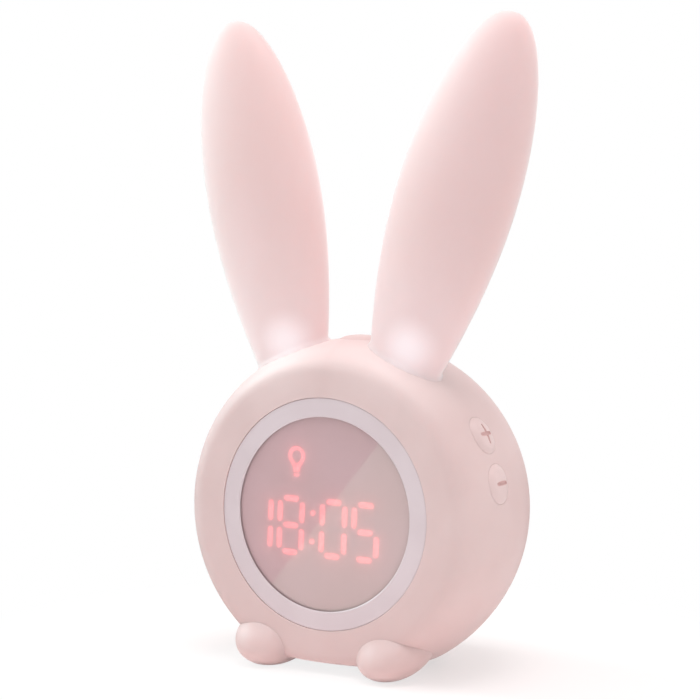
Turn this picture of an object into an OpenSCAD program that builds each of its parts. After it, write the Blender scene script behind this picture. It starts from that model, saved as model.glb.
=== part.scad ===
// Bedside alarm clock with a round body, two glowing ears, a round display and
// two small feet. Millimetres. The display faces -Y, +X is the reader's right
// and +Z is up. The origin lies on the table, under the middle of the clock's
// outline. Most modules are drawn in the body frame, whose origin is the centre
// of the body's widest section, with +Y running to the rear.

/* [Body] */
// Width of the flat front face round the bezel
face_w = 7.5; // [6.8:0.1:8.4]
// Width of the rounded edge round the front face
edge_w = 10.2; // [9.4:0.1:11.2]
// Depth from the widest section to the flat front face
front_depth = 23.2; // [22:0.2:26]
// Depth of the flat cut on the underside
under_cut = 7.4; // [6.8:0.1:8]
// Depth from the widest section to the flat rear face
rear_depth = 44; // [43:0.5:47]
// Depth at which the curve of the rear would close
rear_curve = 52.6; // [51:0.2:56]
// Depth of the seam between the front shell and the rear cover
seam_y = 28; // [26:0.5:30]
// Height of the flat underside above the table
under_h = 3.4; // [2.6:0.2:4]
// Wall of the two body mouldings
wall = 2.2; // [1.8:0.1:2.6]
// Squareness of the front edge's curve
front_bend = 2.24; // [2:0.04:2.5]
// Squareness of the rear's curve
rear_bend = 2.16; // [2:0.04:2.4]

/* [Ears] */
// Length of an ear from its root point inside the body
ear_len = 125; // [110:1:140]
// Largest half width of an ear
ear_half_w = 20.1; // [18:0.1:22]
// Thickness of an ear as a share of its width
ear_flatness = 0.6; // [0.55:0.01:0.8]
// Wall of the hollow ear
ear_wall = 2; // [1.4:0.1:2.4]
// Distance of the root point from the middle
ear_root_x = 17.1; // [16.6:0.1:18]
// Distance of the root point in front of the widest section
ear_root_fwd = 9.4; // [8.6:0.1:9.8]
// Height of the root point over the ear light board
ear_root_over = 0.5; // [0.1:0.1:1.2]
// Outward lean of an ear, degrees
ear_lean = 15.6; // [14:0.2:17]
// Backward lean of an ear, degrees
ear_back = 4.4; // [3:0.2:6]
// Sideways bow of an ear's middle
ear_bow = 0.4; // [0:0.1:1.5]
// Half length of the neck that passes through the shell
neck_half_l = 10; // [9:0.1:10.4]
// Half width of the neck
neck_half_w = 5.6; // [5:0.1:5.8]
// Height of the shell's inner land for the neck, along the ear
ear_land = 7; // [6.4:0.1:7.2]
// Thickness of the flange that holds the ear inside
ear_flange_t = 2; // [1.4:0.1:2.2]
// Overhang of that flange beyond the neck
ear_flange = 2.2; // [1.6:0.1:2.4]

/* [Feet] */
// Half width of a foot
foot_half_w = 11.6; // [11:0.1:12]
// Half length of a foot
foot_half_l = 16; // [15:0.2:17]
// Half height of a foot
foot_half_h = 8.3; // [8:0.1:8.6]
// Distance of a foot's centre from the middle
foot_x = 21.8; // [21:0.1:23]
// Distance of the feet's front ends in front of the widest section
foot_fwd = 29; // [28.4:0.1:29.6]
// Rise of a foot towards the back, degrees
foot_pitch = 13; // [11:0.5:15]
// Rise of a foot towards its outer side, degrees
foot_roll = 9.5; // [8:0.5:11]
// Depth of the flat cut where a foot stands
foot_flat = 0.4; // [0.3:0.05:0.5]
// Radius of the peg that locates a foot
foot_peg_r = 2; // [1.8:0.1:2.2]
// Length of the rear foot pad
pad_l = 26; // [20:0.5:30]
// Width of the rear foot pad
pad_w = 10; // [8:0.5:11]
// Distance of the pad's middle behind the widest section
pad_back = 14; // [12:0.5:16]
// Depth of the pad's pocket in the underside
pad_pocket = 0.8; // [0.5:0.1:1]

/* [Display] */
// Radius of the window that shows inside the bezel
view_r = 30.3; // [29:0.1:33]
// Width of the bezel ring
bezel_w = 6; // [5.4:0.1:6.6]
// Height of the bezel over the front face
bezel_proud = 0.2; // [0.1:0.05:0.5]
// Thickness of the bezel's flange
bezel_flange = 1.4; // [1.2:0.1:1.6]
// Depth of the window's front below the bezel's
window_sink = 0.8; // [0.6:0.1:1]
// Reach of the window behind the bezel's lip
window_lip = 0.9; // [0.7:0.1:1.1]
// Thickness of the window
window_t = 1.5; // [1.2:0.1:1.8]
// Wall of the bezel's collar
collar_wall = 2.3; // [1.8:0.1:2.5]
// Depth of the light box
box_depth = 8; // [7:0.2:9]
// Thickness of the light pieces in the light box
segment_t = 1.5; // [1:0.1:2]
// Width of one segment
segment_w = 1.7; // [1.4:0.1:1.9]
// Length of an upright segment
upright_l = 6.4; // [5.8:0.1:6.8]
// Length of a level segment
level_l = 5.2; // [4.6:0.1:5.6]
// Height from one level segment to the next
row_h = 8.45; // [8:0.05:8.8]
// Distance between the two columns of a digit
column_w = 8; // [7.8:0.1:8.6]
// Distance from one digit to the next
digit_pitch = 11.4; // [11:0.1:11.8]
// Place of the hours' last digit
hour_x = -12.5; // [-13:0.1:-12.2]
// Place of the minutes' first digit
minute_x = 2.8; // [2.4:0.1:3.2]
// Place of the colon
colon_x = -4.6; // [-5.2:0.1:-4.4]
// Height of the digits' middle over the body's axis
digits_h = -4.6; // [-5.4:0.1:-4]
// Slant of the digits, degrees
slant = 1.2; // [0:0.2:4]
// First digit of the hours: blank or one
hour_tens = 1; // [0:1:1]
// Second digit of the hours
hour_units = 8; // [0:1:9]
// First digit of the minutes
minute_tens = 0; // [0:1:5]
// Second digit of the minutes
minute_units = 5; // [0:1:9]
// Place of the bulb sign across the display
bulb_x = -10.7; // [-12:0.1:-9]
// Height of the bulb sign over the body's axis
bulb_h = 17.4; // [16.8:0.1:18.4]
// Outer radius of the bulb sign
bulb_r = 3; // [2.8:0.1:3.4]
// Width of the bulb sign's line
bulb_line = 1.15; // [1:0.05:1.4]

/* [Buttons] */
// Length of a side button
key_l = 12.2; // [11:0.1:12.6]
// Width of a side button
key_w = 10.4; // [9.4:0.1:10.6]
// Height of a side button over the body
key_rise = 1.3; // [0.9:0.1:1.8]
// Radius of a side button's domed head
key_dome_r = 16; // [14:0.5:20]
// Distance of the side buttons in front of the widest section
key_fwd = 6.4; // [5.8:0.1:7]
// Angle of the pair of side buttons above the body's axis
key_tilt = 21.35; // [19:0.25:24]
// Distance from the pair's middle to each button
key_offset = 7.75; // [7.6:0.05:8]
// Radius of the top button
top_key_r = 6.8; // [6:0.1:7.2]
// Height of the top button over the body
top_key_rise = 1; // [0.6:0.1:1.4]
// Radius of the top button's domed head
top_dome_r = 24; // [20:1:30]
// Travel of every button
key_travel = 0.5; // [0.3:0.05:0.6]
// Gap round a button in the shell
key_gap = 0.3; // [0.2:0.05:0.4]
// Rim that keeps a button in the shell
key_rim = 1; // [0.8:0.05:1]
// Thickness of that rim
key_rim_t = 1; // [0.8:0.1:1.2]
// Radius of the stem under a button
stem_r = 2.2; // [2:0.1:2.6]
// Depth of the side buttons' rims below the widest section's radius
key_rim_sink = 6.1; // [5.9:0.1:6.5]
// Depth of the top button's rim below the widest section's radius
top_rim_sink = 5.6; // [5.4:0.1:6.4]

/* [Electronics] */
// Thickness of the circuit boards
board_t = 1.6; // [1.2:0.2:2]
// Room between the bezel's collar and a long boss
post_gap = 1.9; // [1.6:0.1:2.2]
// Angle of the long bosses above and below the level, degrees
post_angle = 42.4; // [41.4:0.2:44]
// Radius of a boss
post_r = 3; // [2.8:0.1:3.2]
// Depth of the main board behind the widest section
main_board_y = 6; // [5:0.2:7]
// Width of a tactile switch
switch_w = 6; // [5.6:0.1:6.2]
// Height of a tactile switch's case
switch_h = 3.4; // [3.2:0.1:3.6]
// Height of a switch's plunger over its case
plunger_out = 1.5; // [1.3:0.05:1.6]
// Radius of a switch's plunger
plunger_r = 1.7; // [1.5:0.05:1.8]
// Room between the display board and the ear light board
light_board_gap = 1.6; // [1.2:0.1:2]
// Radius of the battery cell
cell_r = 9.15; // [8.6:0.05:9.25]
// Length of the battery cell
cell_l = 50; // [46:0.5:50.5]
// Height of the battery cell over the body's axis
cell_h = -12; // [-12.4:0.1:-11]
// Radius of the loudspeaker's flange
speaker_r = 18; // [16:0.5:18]
// Height of the loudspeaker over the body's axis
speaker_h = 4; // [3:0.2:5]
// Depth of the loudspeaker from flange to magnet
speaker_depth = 11.6; // [9:0.2:12]
// Radius of one grille hole
grille_hole_r = 0.9; // [0.6:0.05:1.1]
// Distance between grille holes
grille_pitch = 3.2; // [3:0.1:4]
// Radius of the grille
grille_r = 12.5; // [9:0.5:14]
// Height of the charging socket over the body's axis
usb_h = -22.5; // [-23:0.1:-22]

/* [Rear screws] */
// Room between the rear cover's lap and a rear post
rear_post_gap = 0.8; // [0.6:0.1:1.2]
// Radius of a screw well in the rear cover
well_r = 3.4; // [3:0.1:3.6]
// Depth of the well's floor behind the seam
well_floor = 2.5; // [2:0.1:3]

/* [Fit] */
// Play between parts that seat in one another
fit = 0.1; // [0.05:0.05:0.15]
// Play of the rear cover's lap in the front shell
lap_play = 0.16; // [0.1:0.02:0.3]

/* [Quality] */
// Segments of a full circle
circle_steps = 96; // [64:8:128]
// Points round one section of an ear
ear_sides = 40; // [32:4:48]
// Sections along one ear
ear_rings = 28; // [20:1:34]

/* [Hidden] */
$fn = circle_steps;
eps = 0.01;

// Radii from the window out to the body, each the last one and a width
window_r = view_r + window_lip;
collar_r = window_r + fit + collar_wall;
bezel_r = view_r + bezel_w;
face_r = bezel_r + face_w;
body_r = face_r + edge_w;
big = 4 * body_r;

body_pink = [0.93, 0.80, 0.79];
ear_pink = [0.95, 0.84, 0.83];
bezel_lilac = [0.86, 0.80, 0.82];
board_green = [0.15, 0.42, 0.28];
metal_grey = [0.72, 0.72, 0.74];
dark_grey = [0.18, 0.18, 0.20];

// Place of the body frame, which centres the clock's outline on the origin
body_y = (foot_fwd - rear_depth) / 2;
// The flat underside and its inner face, in the body frame
under_z = under_cut - body_r;
floor_z = under_z + wall;
// Height of the body's axis above the table
axis_h = under_h - under_z;

// Stack of the display, from the bezel's face to the board behind the light box
front_y = -front_depth;
bezel_face_y = front_y - bezel_proud;
bezel_seat_y = bezel_face_y + bezel_flange;
window_y = bezel_face_y + window_sink;
box_y = window_y + window_t;
display_board_y = box_y + box_depth;
spacer_y = display_board_y + board_t;
collar_back_y = display_board_y - 0.9;
display_board_r = window_r + 1.8;
spacer_bore_r = 1.35;
// The long bosses stand on a ring outside the collar
post_ring = collar_r + fit + post_gap + post_r;
post_x = post_ring * cos(post_angle);
post_h = post_ring * sin(post_angle);

// Screws: radius of the shank and radius and height of the head
small_screw = [0.9, 1.9, 1.2];
board_screw = [1.2, 2.4, 1.5];
rear_screw = [1.25, 2.8, 1.6];
pilot = 0.05;
// Length of a small screw beyond its board, and free depth of its hole below its tip
small_bite = 4;
small_free = 0.4;

// Buttons and switches, measured from the board that carries the switch
plunger_top = board_t + switch_h + plunger_out;
plunger_in = 0.9;
bore_depth = plunger_in + key_travel + 0.1;
key_board_h = post_ring * cos(post_angle - key_tilt) + post_r + 1;
key_rim_h = body_r - key_rim_sink;
key_hole_base = body_r - 9;
key_board_l = 27;
key_board_w = 23;
key_boss_y = 8.5;
key_boss_r = 2.4;
top_rim_h = body_r - top_rim_sink;

// Ear light board, its bosses and its lamps
light_board = [2 * (ear_root_x + 11.9), 23];
light_board_y = -4;
light_board_h = display_board_r + light_board_gap;
light_boss = [ear_root_x - 1.1, 4];
light_boss_r = 2.5;
light_board_top = light_board_h + board_t;
ear_lamp = [2.8, 3.5, 0.9];
ear_lamp_pitch = 4.6;

// Rear posts of the front shell and the rear cover's lap
rear_post_y = 14;
rear_post_r = 3.5;
rear_rib_w = 2;
lap_r = rear_radius(seam_y, wall) - lap_play;
lap_t = 1.5;
lap_l = 2.5;
lap_room = 0.4;
well_wall = 1.2;
screw_ring = lap_r - lap_t - rear_post_gap - rear_post_r;
rear_screw_l = seam_y + well_floor - rear_post_y - 5.5;

// Chips on the main board: place across, distance below the upper bosses, length, width, height
chips = [[0, 13, 10, 10, 1.4], [16, 12, 5, 4, 1.2], [-16, 12, 6, 6, 2]];

// Battery holder: room for a contact at each end, walls, floor, height and depth of the notches
cell_room = 2.5;
holder_wall = 1.5;
holder_floor = 1;
holder_h = 9.5;
holder_notch = 5.5;
cell_tip = 0.8;

// Loudspeaker: flange, depth of its bowl and of its cone's cap, thickness of the cone
speaker_flange = 1.2;
speaker_bowl = 5.6;
speaker_cap = 2.6;
cone_t = 0.3;

// Feet: the centre of each, half its height as it lies, the peg and the boss it enters
foot_y = norm([foot_half_l * cos(foot_pitch), foot_half_h * sin(foot_pitch)]) - foot_fwd;
foot_low = norm([
    foot_half_w * sin(foot_roll),
    foot_half_l * cos(foot_roll) * sin(foot_pitch),
    foot_half_h * cos(foot_roll) * cos(foot_pitch)
]);
foot_peg = [foot_x + 1.9, 11.8 - foot_fwd];
foot_boss_r = 4.2;
foot_boss_top = floor_z + 5.2;
foot_screw_l = 6;

// Charging socket
usb_w = 8.94;
usb_t = 3.26;
usb_sink = 0.6;
usb_len = 7.6;
usb_boss_x = 9.5;
usb_board = [26, 11];

// Ears
ear_root_share = 0.26;
ear_tip_power = 0.44;
ear_peak = 0.585;
ear_floor = 18;
ear_cavity_end = 0.955;
loft_start = 4;
neck_wall = 1.8;
land_rim = 3;
ear_root_h = light_board_h + ear_root_over;

// Body outline

// Radius of the body's front part at a depth in front of the widest section
function front_radius(depth, inset) =
    face_r + (body_r - face_r - inset)
    * pow(1 - pow(depth / (front_depth - inset), front_bend), 1 / front_bend);

// Radius of the body's rear part at a depth behind the widest section
function rear_radius(depth, inset) =
    (body_r - inset) * pow(1 - pow(depth / (rear_curve - inset), rear_bend), 1 / rear_bend);

// Rounded front edge from the flat face out to the widest section
function front_edge(inset, steps) = [
    for (i = [steps : -1 : 0])
    let (a = 90 * i / steps)
    [
        face_r + (body_r - face_r - inset) * pow(cos(a), 2 / front_bend),
        -(front_depth - inset) * pow(sin(a), 2 / front_bend)
    ]
];

// Domed rear from the widest section to a given depth
function rear_edge(inset, to_y, steps) = [
    for (i = [1 : steps])
    let (y = to_y * i / steps)
    [rear_radius(y, inset), y]
];

// Places

module in_body() translate([0, body_y, axis_h]) children();

module about_axis() rotate([-90, 0, 0]) children();

// An outline drawn in X and Z, given thickness towards the front
module plate(back_y, depth)
    translate([0, back_y, 0])
    rotate([90, 0, 0])
    linear_extrude(height = depth)
    children();

// A rod along the body's axis
module rod(x, z, r, from_y, to_y)
    translate([x, from_y, z])
    about_axis()
    cylinder(r = r, h = to_y - from_y);

module both_sides() {
    children();
    mirror([1, 0, 0]) children();
}

module at_posts()
    for (sx = [-1, 1], sz = [-1, 1])
        translate([sx * post_x, 0, sz * post_h]) children();

module at_rear_screws()
    for (turn = [0 : 90 : 270])
        rotate([0, turn, 0]) translate([screw_ring, 0, 0]) children();

// The right ear's frame: root point at the origin, +Z along the ear
module in_ear()
    translate([ear_root_x, -ear_root_fwd, ear_root_h])
    rotate([-ear_back, 0, 0])
    rotate([0, ear_lean, 0])
    children();

// The right keys' frame: +Z points out of the body, +X points down
module in_keys()
    translate([0, -key_fwd, 0])
    rotate([0, 90 - key_tilt, 0])
    children();

// Shared shapes

// Long hole or tongue with round ends
module slot(l, w) {
    square([l - w, w], center = true);
    for (s = [-1, 1]) translate([s * (l - w) / 2, 0]) circle(r = w / 2);
}

// Rectangle with round corners
module soft_rectangle(l, w, r) {
    square([l - 2 * r, w], center = true);
    square([l, w - 2 * r], center = true);
    for (sx = [-1, 1], sy = [-1, 1])
        translate([sx * (l / 2 - r), sy * (w / 2 - r)]) circle(r = r);
}

// Screw with its head's underside at the origin and its shank along -Z
module screw(size, l) difference() {
    union() {
        cylinder(r = size[1], h = size[2]);
        translate([0, 0, -l]) cylinder(r = size[0], h = l + eps);
    }
    for (turn = [0, 90])
        rotate([0, 0, turn])
        translate([-size[1] * 0.6, -size[1] * 0.11, size[2] * 0.5])
        cube([size[1] * 1.2, size[1] * 0.22, size[2]]);
}

// Solid form of the body, drawn in from its surface by an inset
module body_form(inset, to_y) difference() {
    about_axis()
    rotate_extrude()
    polygon(concat(
        [[0, -(front_depth - inset)]],
        front_edge(inset, 16),
        rear_edge(inset, to_y, 18),
        [[0, to_y]]
    ));
    translate([-big / 2, -big / 2, under_z + inset - big]) cube(big);
}

// Body mouldings

module shell_skin() difference() {
    body_form(0, seam_y);
    body_form(wall, seam_y + 1);
}

// Everything moulded on the front shell's inner side reaches into its wall
module front_shell_inside() intersection() {
    body_form(wall / 2, seam_y);
    union() {
        at_posts() rod(0, 0, post_r, front_y, display_board_y);
        at_rear_screws() rod(0, 0, rear_post_r, rear_post_y, seam_y);
        difference() {
            at_rear_screws()
                translate([0, rear_post_y, -rear_rib_w / 2])
                cube([body_r, seam_y - rear_post_y, rear_rib_w]);
            lap_clearance();
        }
        both_sides() {
            in_ear()
                translate([0, 0, ear_land])
                linear_extrude(height = body_r)
                slot(2 * (neck_half_l + land_rim), 2 * (neck_half_w + land_rim));
            in_keys()
                for (s = [-1, 1])
                    translate([0, s * key_boss_y, key_board_h + board_t])
                    cylinder(r = key_boss_r, h = body_r);
            translate([light_boss[0], light_boss[1], light_board_top])
                cylinder(r = light_boss_r, h = body_r);
            translate([foot_peg[0], foot_peg[1], -body_r])
                cylinder(r = foot_boss_r, h = foot_boss_top + body_r);
        }
    }
}

// Room for the rear cover's lap between the ribs and the wall
module lap_clearance()
    translate([0, seam_y - lap_l - lap_room, 0])
    about_axis()
    difference() {
        cylinder(r = body_r, h = lap_l + 2 * lap_room);
        translate([0, 0, -1]) cylinder(r = lap_r - lap_t - lap_room, h = lap_l + 3);
    }

module front_shell() color(body_pink) in_body() difference() {
    union() {
        shell_skin();
        front_shell_inside();
    }
    rod(0, 0, bezel_r + fit, front_y - 1, bezel_seat_y);
    rod(0, 0, collar_r + fit, front_y - 1, display_board_y + eps);
    both_sides() {
        in_ear()
            linear_extrude(height = body_r)
            slot(2 * (neck_half_l + fit), 2 * (neck_half_w + fit));
        in_keys()
            for (s = [-1, 1])
                translate([s * key_offset, 0, key_hole_base])
                linear_extrude(height = body_r)
                slot(key_l + 2 * key_gap, key_w + 2 * key_gap);
        in_keys()
            for (s = [-1, 1])
                translate([0, s * key_boss_y, key_board_h])
                cylinder(r = small_screw[0] + pilot, h = board_t + small_bite + small_free);
        translate([light_boss[0], light_boss[1], light_board_h])
            cylinder(r = small_screw[0] + pilot, h = board_t + small_bite + small_free);
        translate([foot_peg[0], foot_peg[1], -body_r])
            cylinder(r = foot_peg_r + fit, h = foot_boss_top + 1 + body_r);
    }
    translate([0, 0, key_hole_base]) cylinder(r = top_key_r + key_gap, h = body_r);
    at_posts() rod(0, 0, board_screw[0] + pilot, front_y + wall + 2.2, display_board_y + 1);
    at_rear_screws() rod(0, 0, rear_screw[0] + pilot, rear_post_y + 3, seam_y + 1);
    translate([0, pad_back, under_z - 1])
        linear_extrude(height = 1 + pad_pocket)
        slot(pad_l + 2 * fit, pad_w + 2 * fit);
}

module cover_skin() difference() {
    body_form(0, rear_depth);
    body_form(wall, rear_depth - wall);
    translate([-big / 2, seam_y - big, -big / 2]) cube(big);
}

module rear_cover() color(body_pink) in_body() difference() {
    union() {
        cover_skin();
        difference() {
            rod(0, 0, lap_r, seam_y - lap_l, seam_y + 2);
            rod(0, 0, lap_r - lap_t, seam_y - lap_l - 1, seam_y + 3);
            translate([-big / 2, -big / 2, floor_z + fit - big]) cube(big);
        }
        intersection() {
            body_form(wall / 2, rear_depth - wall / 2);
            union() {
                at_rear_screws() rod(0, 0, well_r + well_wall, seam_y, rear_depth);
                difference() {
                    rod(0, speaker_h, speaker_r + fit + 1.5, rear_depth - wall - speaker_bowl, rear_depth);
                    rod(0, speaker_h, speaker_r + fit, 0, rear_depth - wall);
                }
                for (s = [-1, 1])
                    rod(s * usb_boss_x, usb_h, 2.4, usb_board_y() + board_t, rear_depth);
            }
        }
    }
    at_rear_screws() {
        rod(0, 0, well_r, seam_y + well_floor, rear_depth + 1);
        rod(0, 0, rear_screw[0] + 0.25, seam_y - 1, rear_depth);
    }
    grille_holes();
    plate(rear_depth + 1, wall + 2)
        translate([0, usb_h])
        slot(usb_w + 0.9, usb_t + 0.9);
    for (s = [-1, 1])
        rod(
            s * usb_boss_x, usb_h, small_screw[0] + pilot,
            usb_board_y(), usb_board_y() + board_t + small_bite + small_free
        );
}

// Holes of the loudspeaker grille on a grid of equilateral triangles
module grille_holes() {
    rings = ceil(grille_r / grille_pitch);
    for (i = [-rings : rings], j = [-rings : rings])
        let (x = grille_pitch * (i + j / 2), z = grille_pitch * j * sqrt(3) / 2)
        if (norm([x, z]) <= grille_r)
            rod(x, speaker_h + z, grille_hole_r, rear_depth - wall - 1, rear_depth + 1);
}

// Ears

// Half width of an ear at a share of its length
function ear_half(t) =
    ear_half_w / ear_peak * pow(1 - t, ear_tip_power)
    * (ear_root_share + (1 - ear_root_share) * sin(92 * t));

function ear_section(t, inset, sides) = [
    for (i = [0 : sides - 1])
    let (a = 360 * i / sides)
    [
        (ear_half(t) - inset) * cos(a) - ear_bow * 4 * t * (1 - t),
        (ear_flatness * ear_half(t) - inset) * sin(a),
        t * ear_len
    ]
];

// A stack of oval sections, closed by a flat end below and a point or flat end above
module ear_loft(from_t, to_t, inset, sides, rings) {
    ts = [for (i = [0 : rings]) from_t + (to_t - from_t) * sin(90 * i / rings)];
    pointed = to_t >= 1;
    last = pointed ? rings - 1 : rings;
    points = [
        for (i = [0 : last]) each ear_section(ts[i], inset, sides),
        if (pointed) [0, 0, ear_len]
    ];
    walls = [
        for (i = [0 : last - 1], j = [0 : sides - 1])
        let (k = (j + 1) % sides)
        [i * sides + j, (i + 1) * sides + j, (i + 1) * sides + k, i * sides + k]
    ];
    bottom = [[for (j = [0 : sides - 1]) j]];
    top = pointed
        ? [for (j = [0 : sides - 1]) [last * sides + j, len(points) - 1, last * sides + (j + 1) % sides]]
        : [[for (j = [sides - 1 : -1 : 0]) last * sides + j]];
    polyhedron(points = points, faces = concat(walls, bottom, top), convexity = 4);
}

module right_ear() in_body() difference() {
    union() {
        difference() {
            in_ear() ear_loft(loft_start / ear_len, 1, 0, ear_sides, ear_rings);
            body_form(0, seam_y);
        }
        in_ear()
            translate([0, 0, ear_land - ear_flange_t])
            linear_extrude(height = ear_floor - ear_land + ear_flange_t - 1)
            slot(2 * neck_half_l, 2 * neck_half_w);
        in_ear()
            translate([0, 0, ear_land - ear_flange_t])
            linear_extrude(height = ear_flange_t)
            slot(2 * (neck_half_l + ear_flange), 2 * (neck_half_w + ear_flange));
    }
    in_ear() ear_loft(ear_floor / ear_len, ear_cavity_end, ear_wall, 28, 16);
    in_ear()
        linear_extrude(height = ear_floor + 1)
        slot(2 * (neck_half_l - neck_wall), 2 * (neck_half_w - neck_wall));
}

module ear_right() color(ear_pink) right_ear();

module ear_left() color(ear_pink) mirror([1, 0, 0]) right_ear();

// Feet

module right_foot() in_body() difference() {
    union() {
        difference() {
            translate([foot_x, foot_y, foot_low - foot_flat - axis_h])
                rotate([foot_pitch, -foot_roll, 0])
                scale([foot_half_w, foot_half_l, foot_half_h])
                sphere(r = 1);
            body_form(0, seam_y);
        }
        translate([foot_peg[0], foot_peg[1], 1.5 - axis_h])
            cylinder(r = foot_peg_r, h = foot_boss_top - 0.2 + axis_h - 1.5);
    }
    translate([-big / 2, -big / 2, -axis_h - big]) cube(big);
    translate([foot_peg[0], foot_peg[1], foot_boss_top - foot_screw_l - small_free])
        cylinder(r = small_screw[0] + pilot, h = foot_screw_l + 2);
}

module foot_right() color(body_pink) right_foot();

module foot_left() color(body_pink) mirror([1, 0, 0]) right_foot();

module foot_screws() color(metal_grey) in_body() both_sides()
    translate([foot_peg[0], foot_peg[1], foot_boss_top])
    screw([small_screw[0], foot_boss_r - 1.2, small_screw[2]], foot_screw_l);

module rear_foot_pad() color([0.88, 0.80, 0.80]) in_body()
    translate([0, pad_back, -axis_h])
    linear_extrude(height = under_h + pad_pocket)
    slot(pad_l, pad_w);

// Display

module bezel_ring() color(bezel_lilac) in_body()
    about_axis()
    rotate_extrude()
    polygon([
        [view_r, window_y],
        [view_r, bezel_face_y + 0.35],
        [view_r + 0.35, bezel_face_y],
        [bezel_r - 0.4, bezel_face_y],
        [bezel_r - 0.12, bezel_face_y + 0.12],
        [bezel_r, bezel_face_y + 0.4],
        [bezel_r, bezel_seat_y],
        [collar_r, bezel_seat_y],
        [collar_r, collar_back_y],
        [window_r + fit, collar_back_y],
        [window_r + fit, window_y]
    ]);

module display_window() color([0.75, 0.66, 0.67, 0.6]) in_body()
    rod(0, 0, window_r, window_y, box_y);

// Segments of a digit: half columns across, rows up and whether it stands upright.
// The order is a to g: top, upper right, lower right, bottom, lower left, upper left, middle.
SEGMENTS = [[0, 1, 0], [1, 0.5, 1], [1, -0.5, 1], [0, -1, 0], [-1, -0.5, 1], [-1, 0.5, 1], [0, 0, 0]];
// Segments that each figure from zero to nine lights
FIGURES = ["abcdef", "bc", "abged", "abgcd", "fgbc", "afgcd", "afgedc", "abc", "abcdefg", "abcdfg"];
// Every digit of the display: its place, its figure and the segments it has.
// The hours' first digit has only the two segments of a one.
DIGITS = [
    [hour_x - digit_pitch, hour_tens == 1 ? "bc" : "", "bc"],
    [hour_x, FIGURES[hour_units], "abcdefg"],
    [minute_x, FIGURES[minute_tens], "abcdefg"],
    [minute_x + digit_pitch, FIGURES[minute_units], "abcdefg"]
];

function has(names, name) = len(search(name, names)) > 0;

// Outline of one place on a digit, enlarged all round by grow
module segment_outline(segment, grow) {
    z = segment[1] * row_h;
    translate([segment[0] * column_w / 2 + z * tan(slant), z])
        rotate(segment[2] == 1 ? 90 - slant : 0)
        slot((segment[2] == 1 ? upright_l : level_l) + 2 * grow, segment_w + 2 * grow);
}

// Runs over the segments that are lit, or over those that are not
module each_segment(lit)
    for (digit = DIGITS, i = [0 : 6])
        let (name = chr(97 + i))
        if (has(digit[2], name) && has(digit[1], name) == lit)
            translate([digit[0], digits_h]) {
                $segment = SEGMENTS[i];
                children();
            }

module colon_dots(r)
    for (s = [-1, 1])
        translate([colon_x + s * row_h * 0.53 * tan(slant), digits_h + s * row_h * 0.53]) circle(r = r);

// A circle that narrows along its tangents to a foot of a given half width
function drop_outline(r, half_w, foot_h) =
    let (swing = atan(half_w / foot_h) + acos(r / norm([half_w, foot_h])))
    concat(
        [for (i = [0 : 32]) let (a = swing - 90 + (360 - 2 * swing) * i / 32) r * [cos(a), sin(a)]],
        [[-half_w, -foot_h], [half_w, -foot_h]]
    );

module bulb_glass(grow) translate([bulb_x, bulb_h]) {
    difference() {
        polygon(drop_outline(bulb_r + grow, 1.1 + grow, bulb_r + 0.6 + grow));
        polygon(drop_outline(bulb_r - bulb_line - grow, 0.2 - grow, bulb_r - 0.4 - grow));
    }
    translate([-1.1 - grow, -bulb_r - 2.1 - grow]) square([2.2 + 2 * grow, 1.6 + grow]);
}

module bulb_base(grow)
    translate([bulb_x - 0.9 - grow, bulb_h - bulb_r - 3.4 - grow])
    square([1.8 + 2 * grow, 0.7 + 2 * grow]);

// The light box keeps the light of each segment in a cell of its own
module light_box() color(dark_grey) in_body() difference() {
    rod(0, 0, window_r, box_y, display_board_y);
    for (lit = [false, true])
        plate(display_board_y + 1, box_depth + 2)
        each_segment(lit)
        segment_outline($segment, fit / 2);
    plate(display_board_y + 1, box_depth + 2) colon_dots(segment_w / 2 + fit / 2);
    plate(box_y + segment_t, segment_t + 1) {
        bulb_glass(fit / 2);
        bulb_base(fit / 2);
    }
    rod(bulb_x, bulb_h - bulb_r - 1, 1, box_y, display_board_y + 1);
}

module digit_segments() color([1, 0.55, 0.56]) in_body() plate(box_y + segment_t, segment_t) {
    each_segment(true) segment_outline($segment, 0);
    colon_dots(segment_w / 2);
}

module unlit_segments() color([0.75, 0.68, 0.68]) in_body() plate(box_y + segment_t, segment_t)
    each_segment(false) segment_outline($segment, 0);

module bulb_sign() color([1, 0.55, 0.56]) in_body() plate(box_y + segment_t, segment_t) {
    bulb_glass(0);
    bulb_base(0);
}

// Small lamps on the display board, one behind each segment, dot and sign
module display_leds() color([0.95, 0.93, 0.85]) in_body() plate(display_board_y, 0.6) {
    for (lit = [false, true])
        each_segment(lit)
        translate([
            $segment[0] * column_w / 2 + $segment[1] * row_h * tan(slant),
            $segment[1] * row_h
        ])
        rotate($segment[2] == 1 ? 90 - slant : 0)
        square([1.6, 0.8], center = true);
    for (s = [-1, 1])
        translate([colon_x + s * row_h * 0.53 * tan(slant), digits_h + s * row_h * 0.53])
        square([1, 0.8], center = true);
    translate([bulb_x, bulb_h - bulb_r - 1]) square([1.6, 0.8], center = true);
}

module display_board() color(board_green) in_body() difference() {
    plate(spacer_y, board_t) {
        circle(r = display_board_r);
        for (turn = [-1, 1])
            rotate(turn * atan(post_h / post_x))
            slot(2 * (norm([post_x, post_h]) + post_r), 2 * post_r);
    }
    at_posts() rod(0, 0, spacer_bore_r, display_board_y - 1, spacer_y + 1);
}

module board_spacers() color(metal_grey) in_body() at_posts() difference() {
    rod(0, 0, post_r, spacer_y, main_board_y);
    rod(0, 0, spacer_bore_r, spacer_y - 1, main_board_y + 1);
}

// Main board and what it carries

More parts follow.
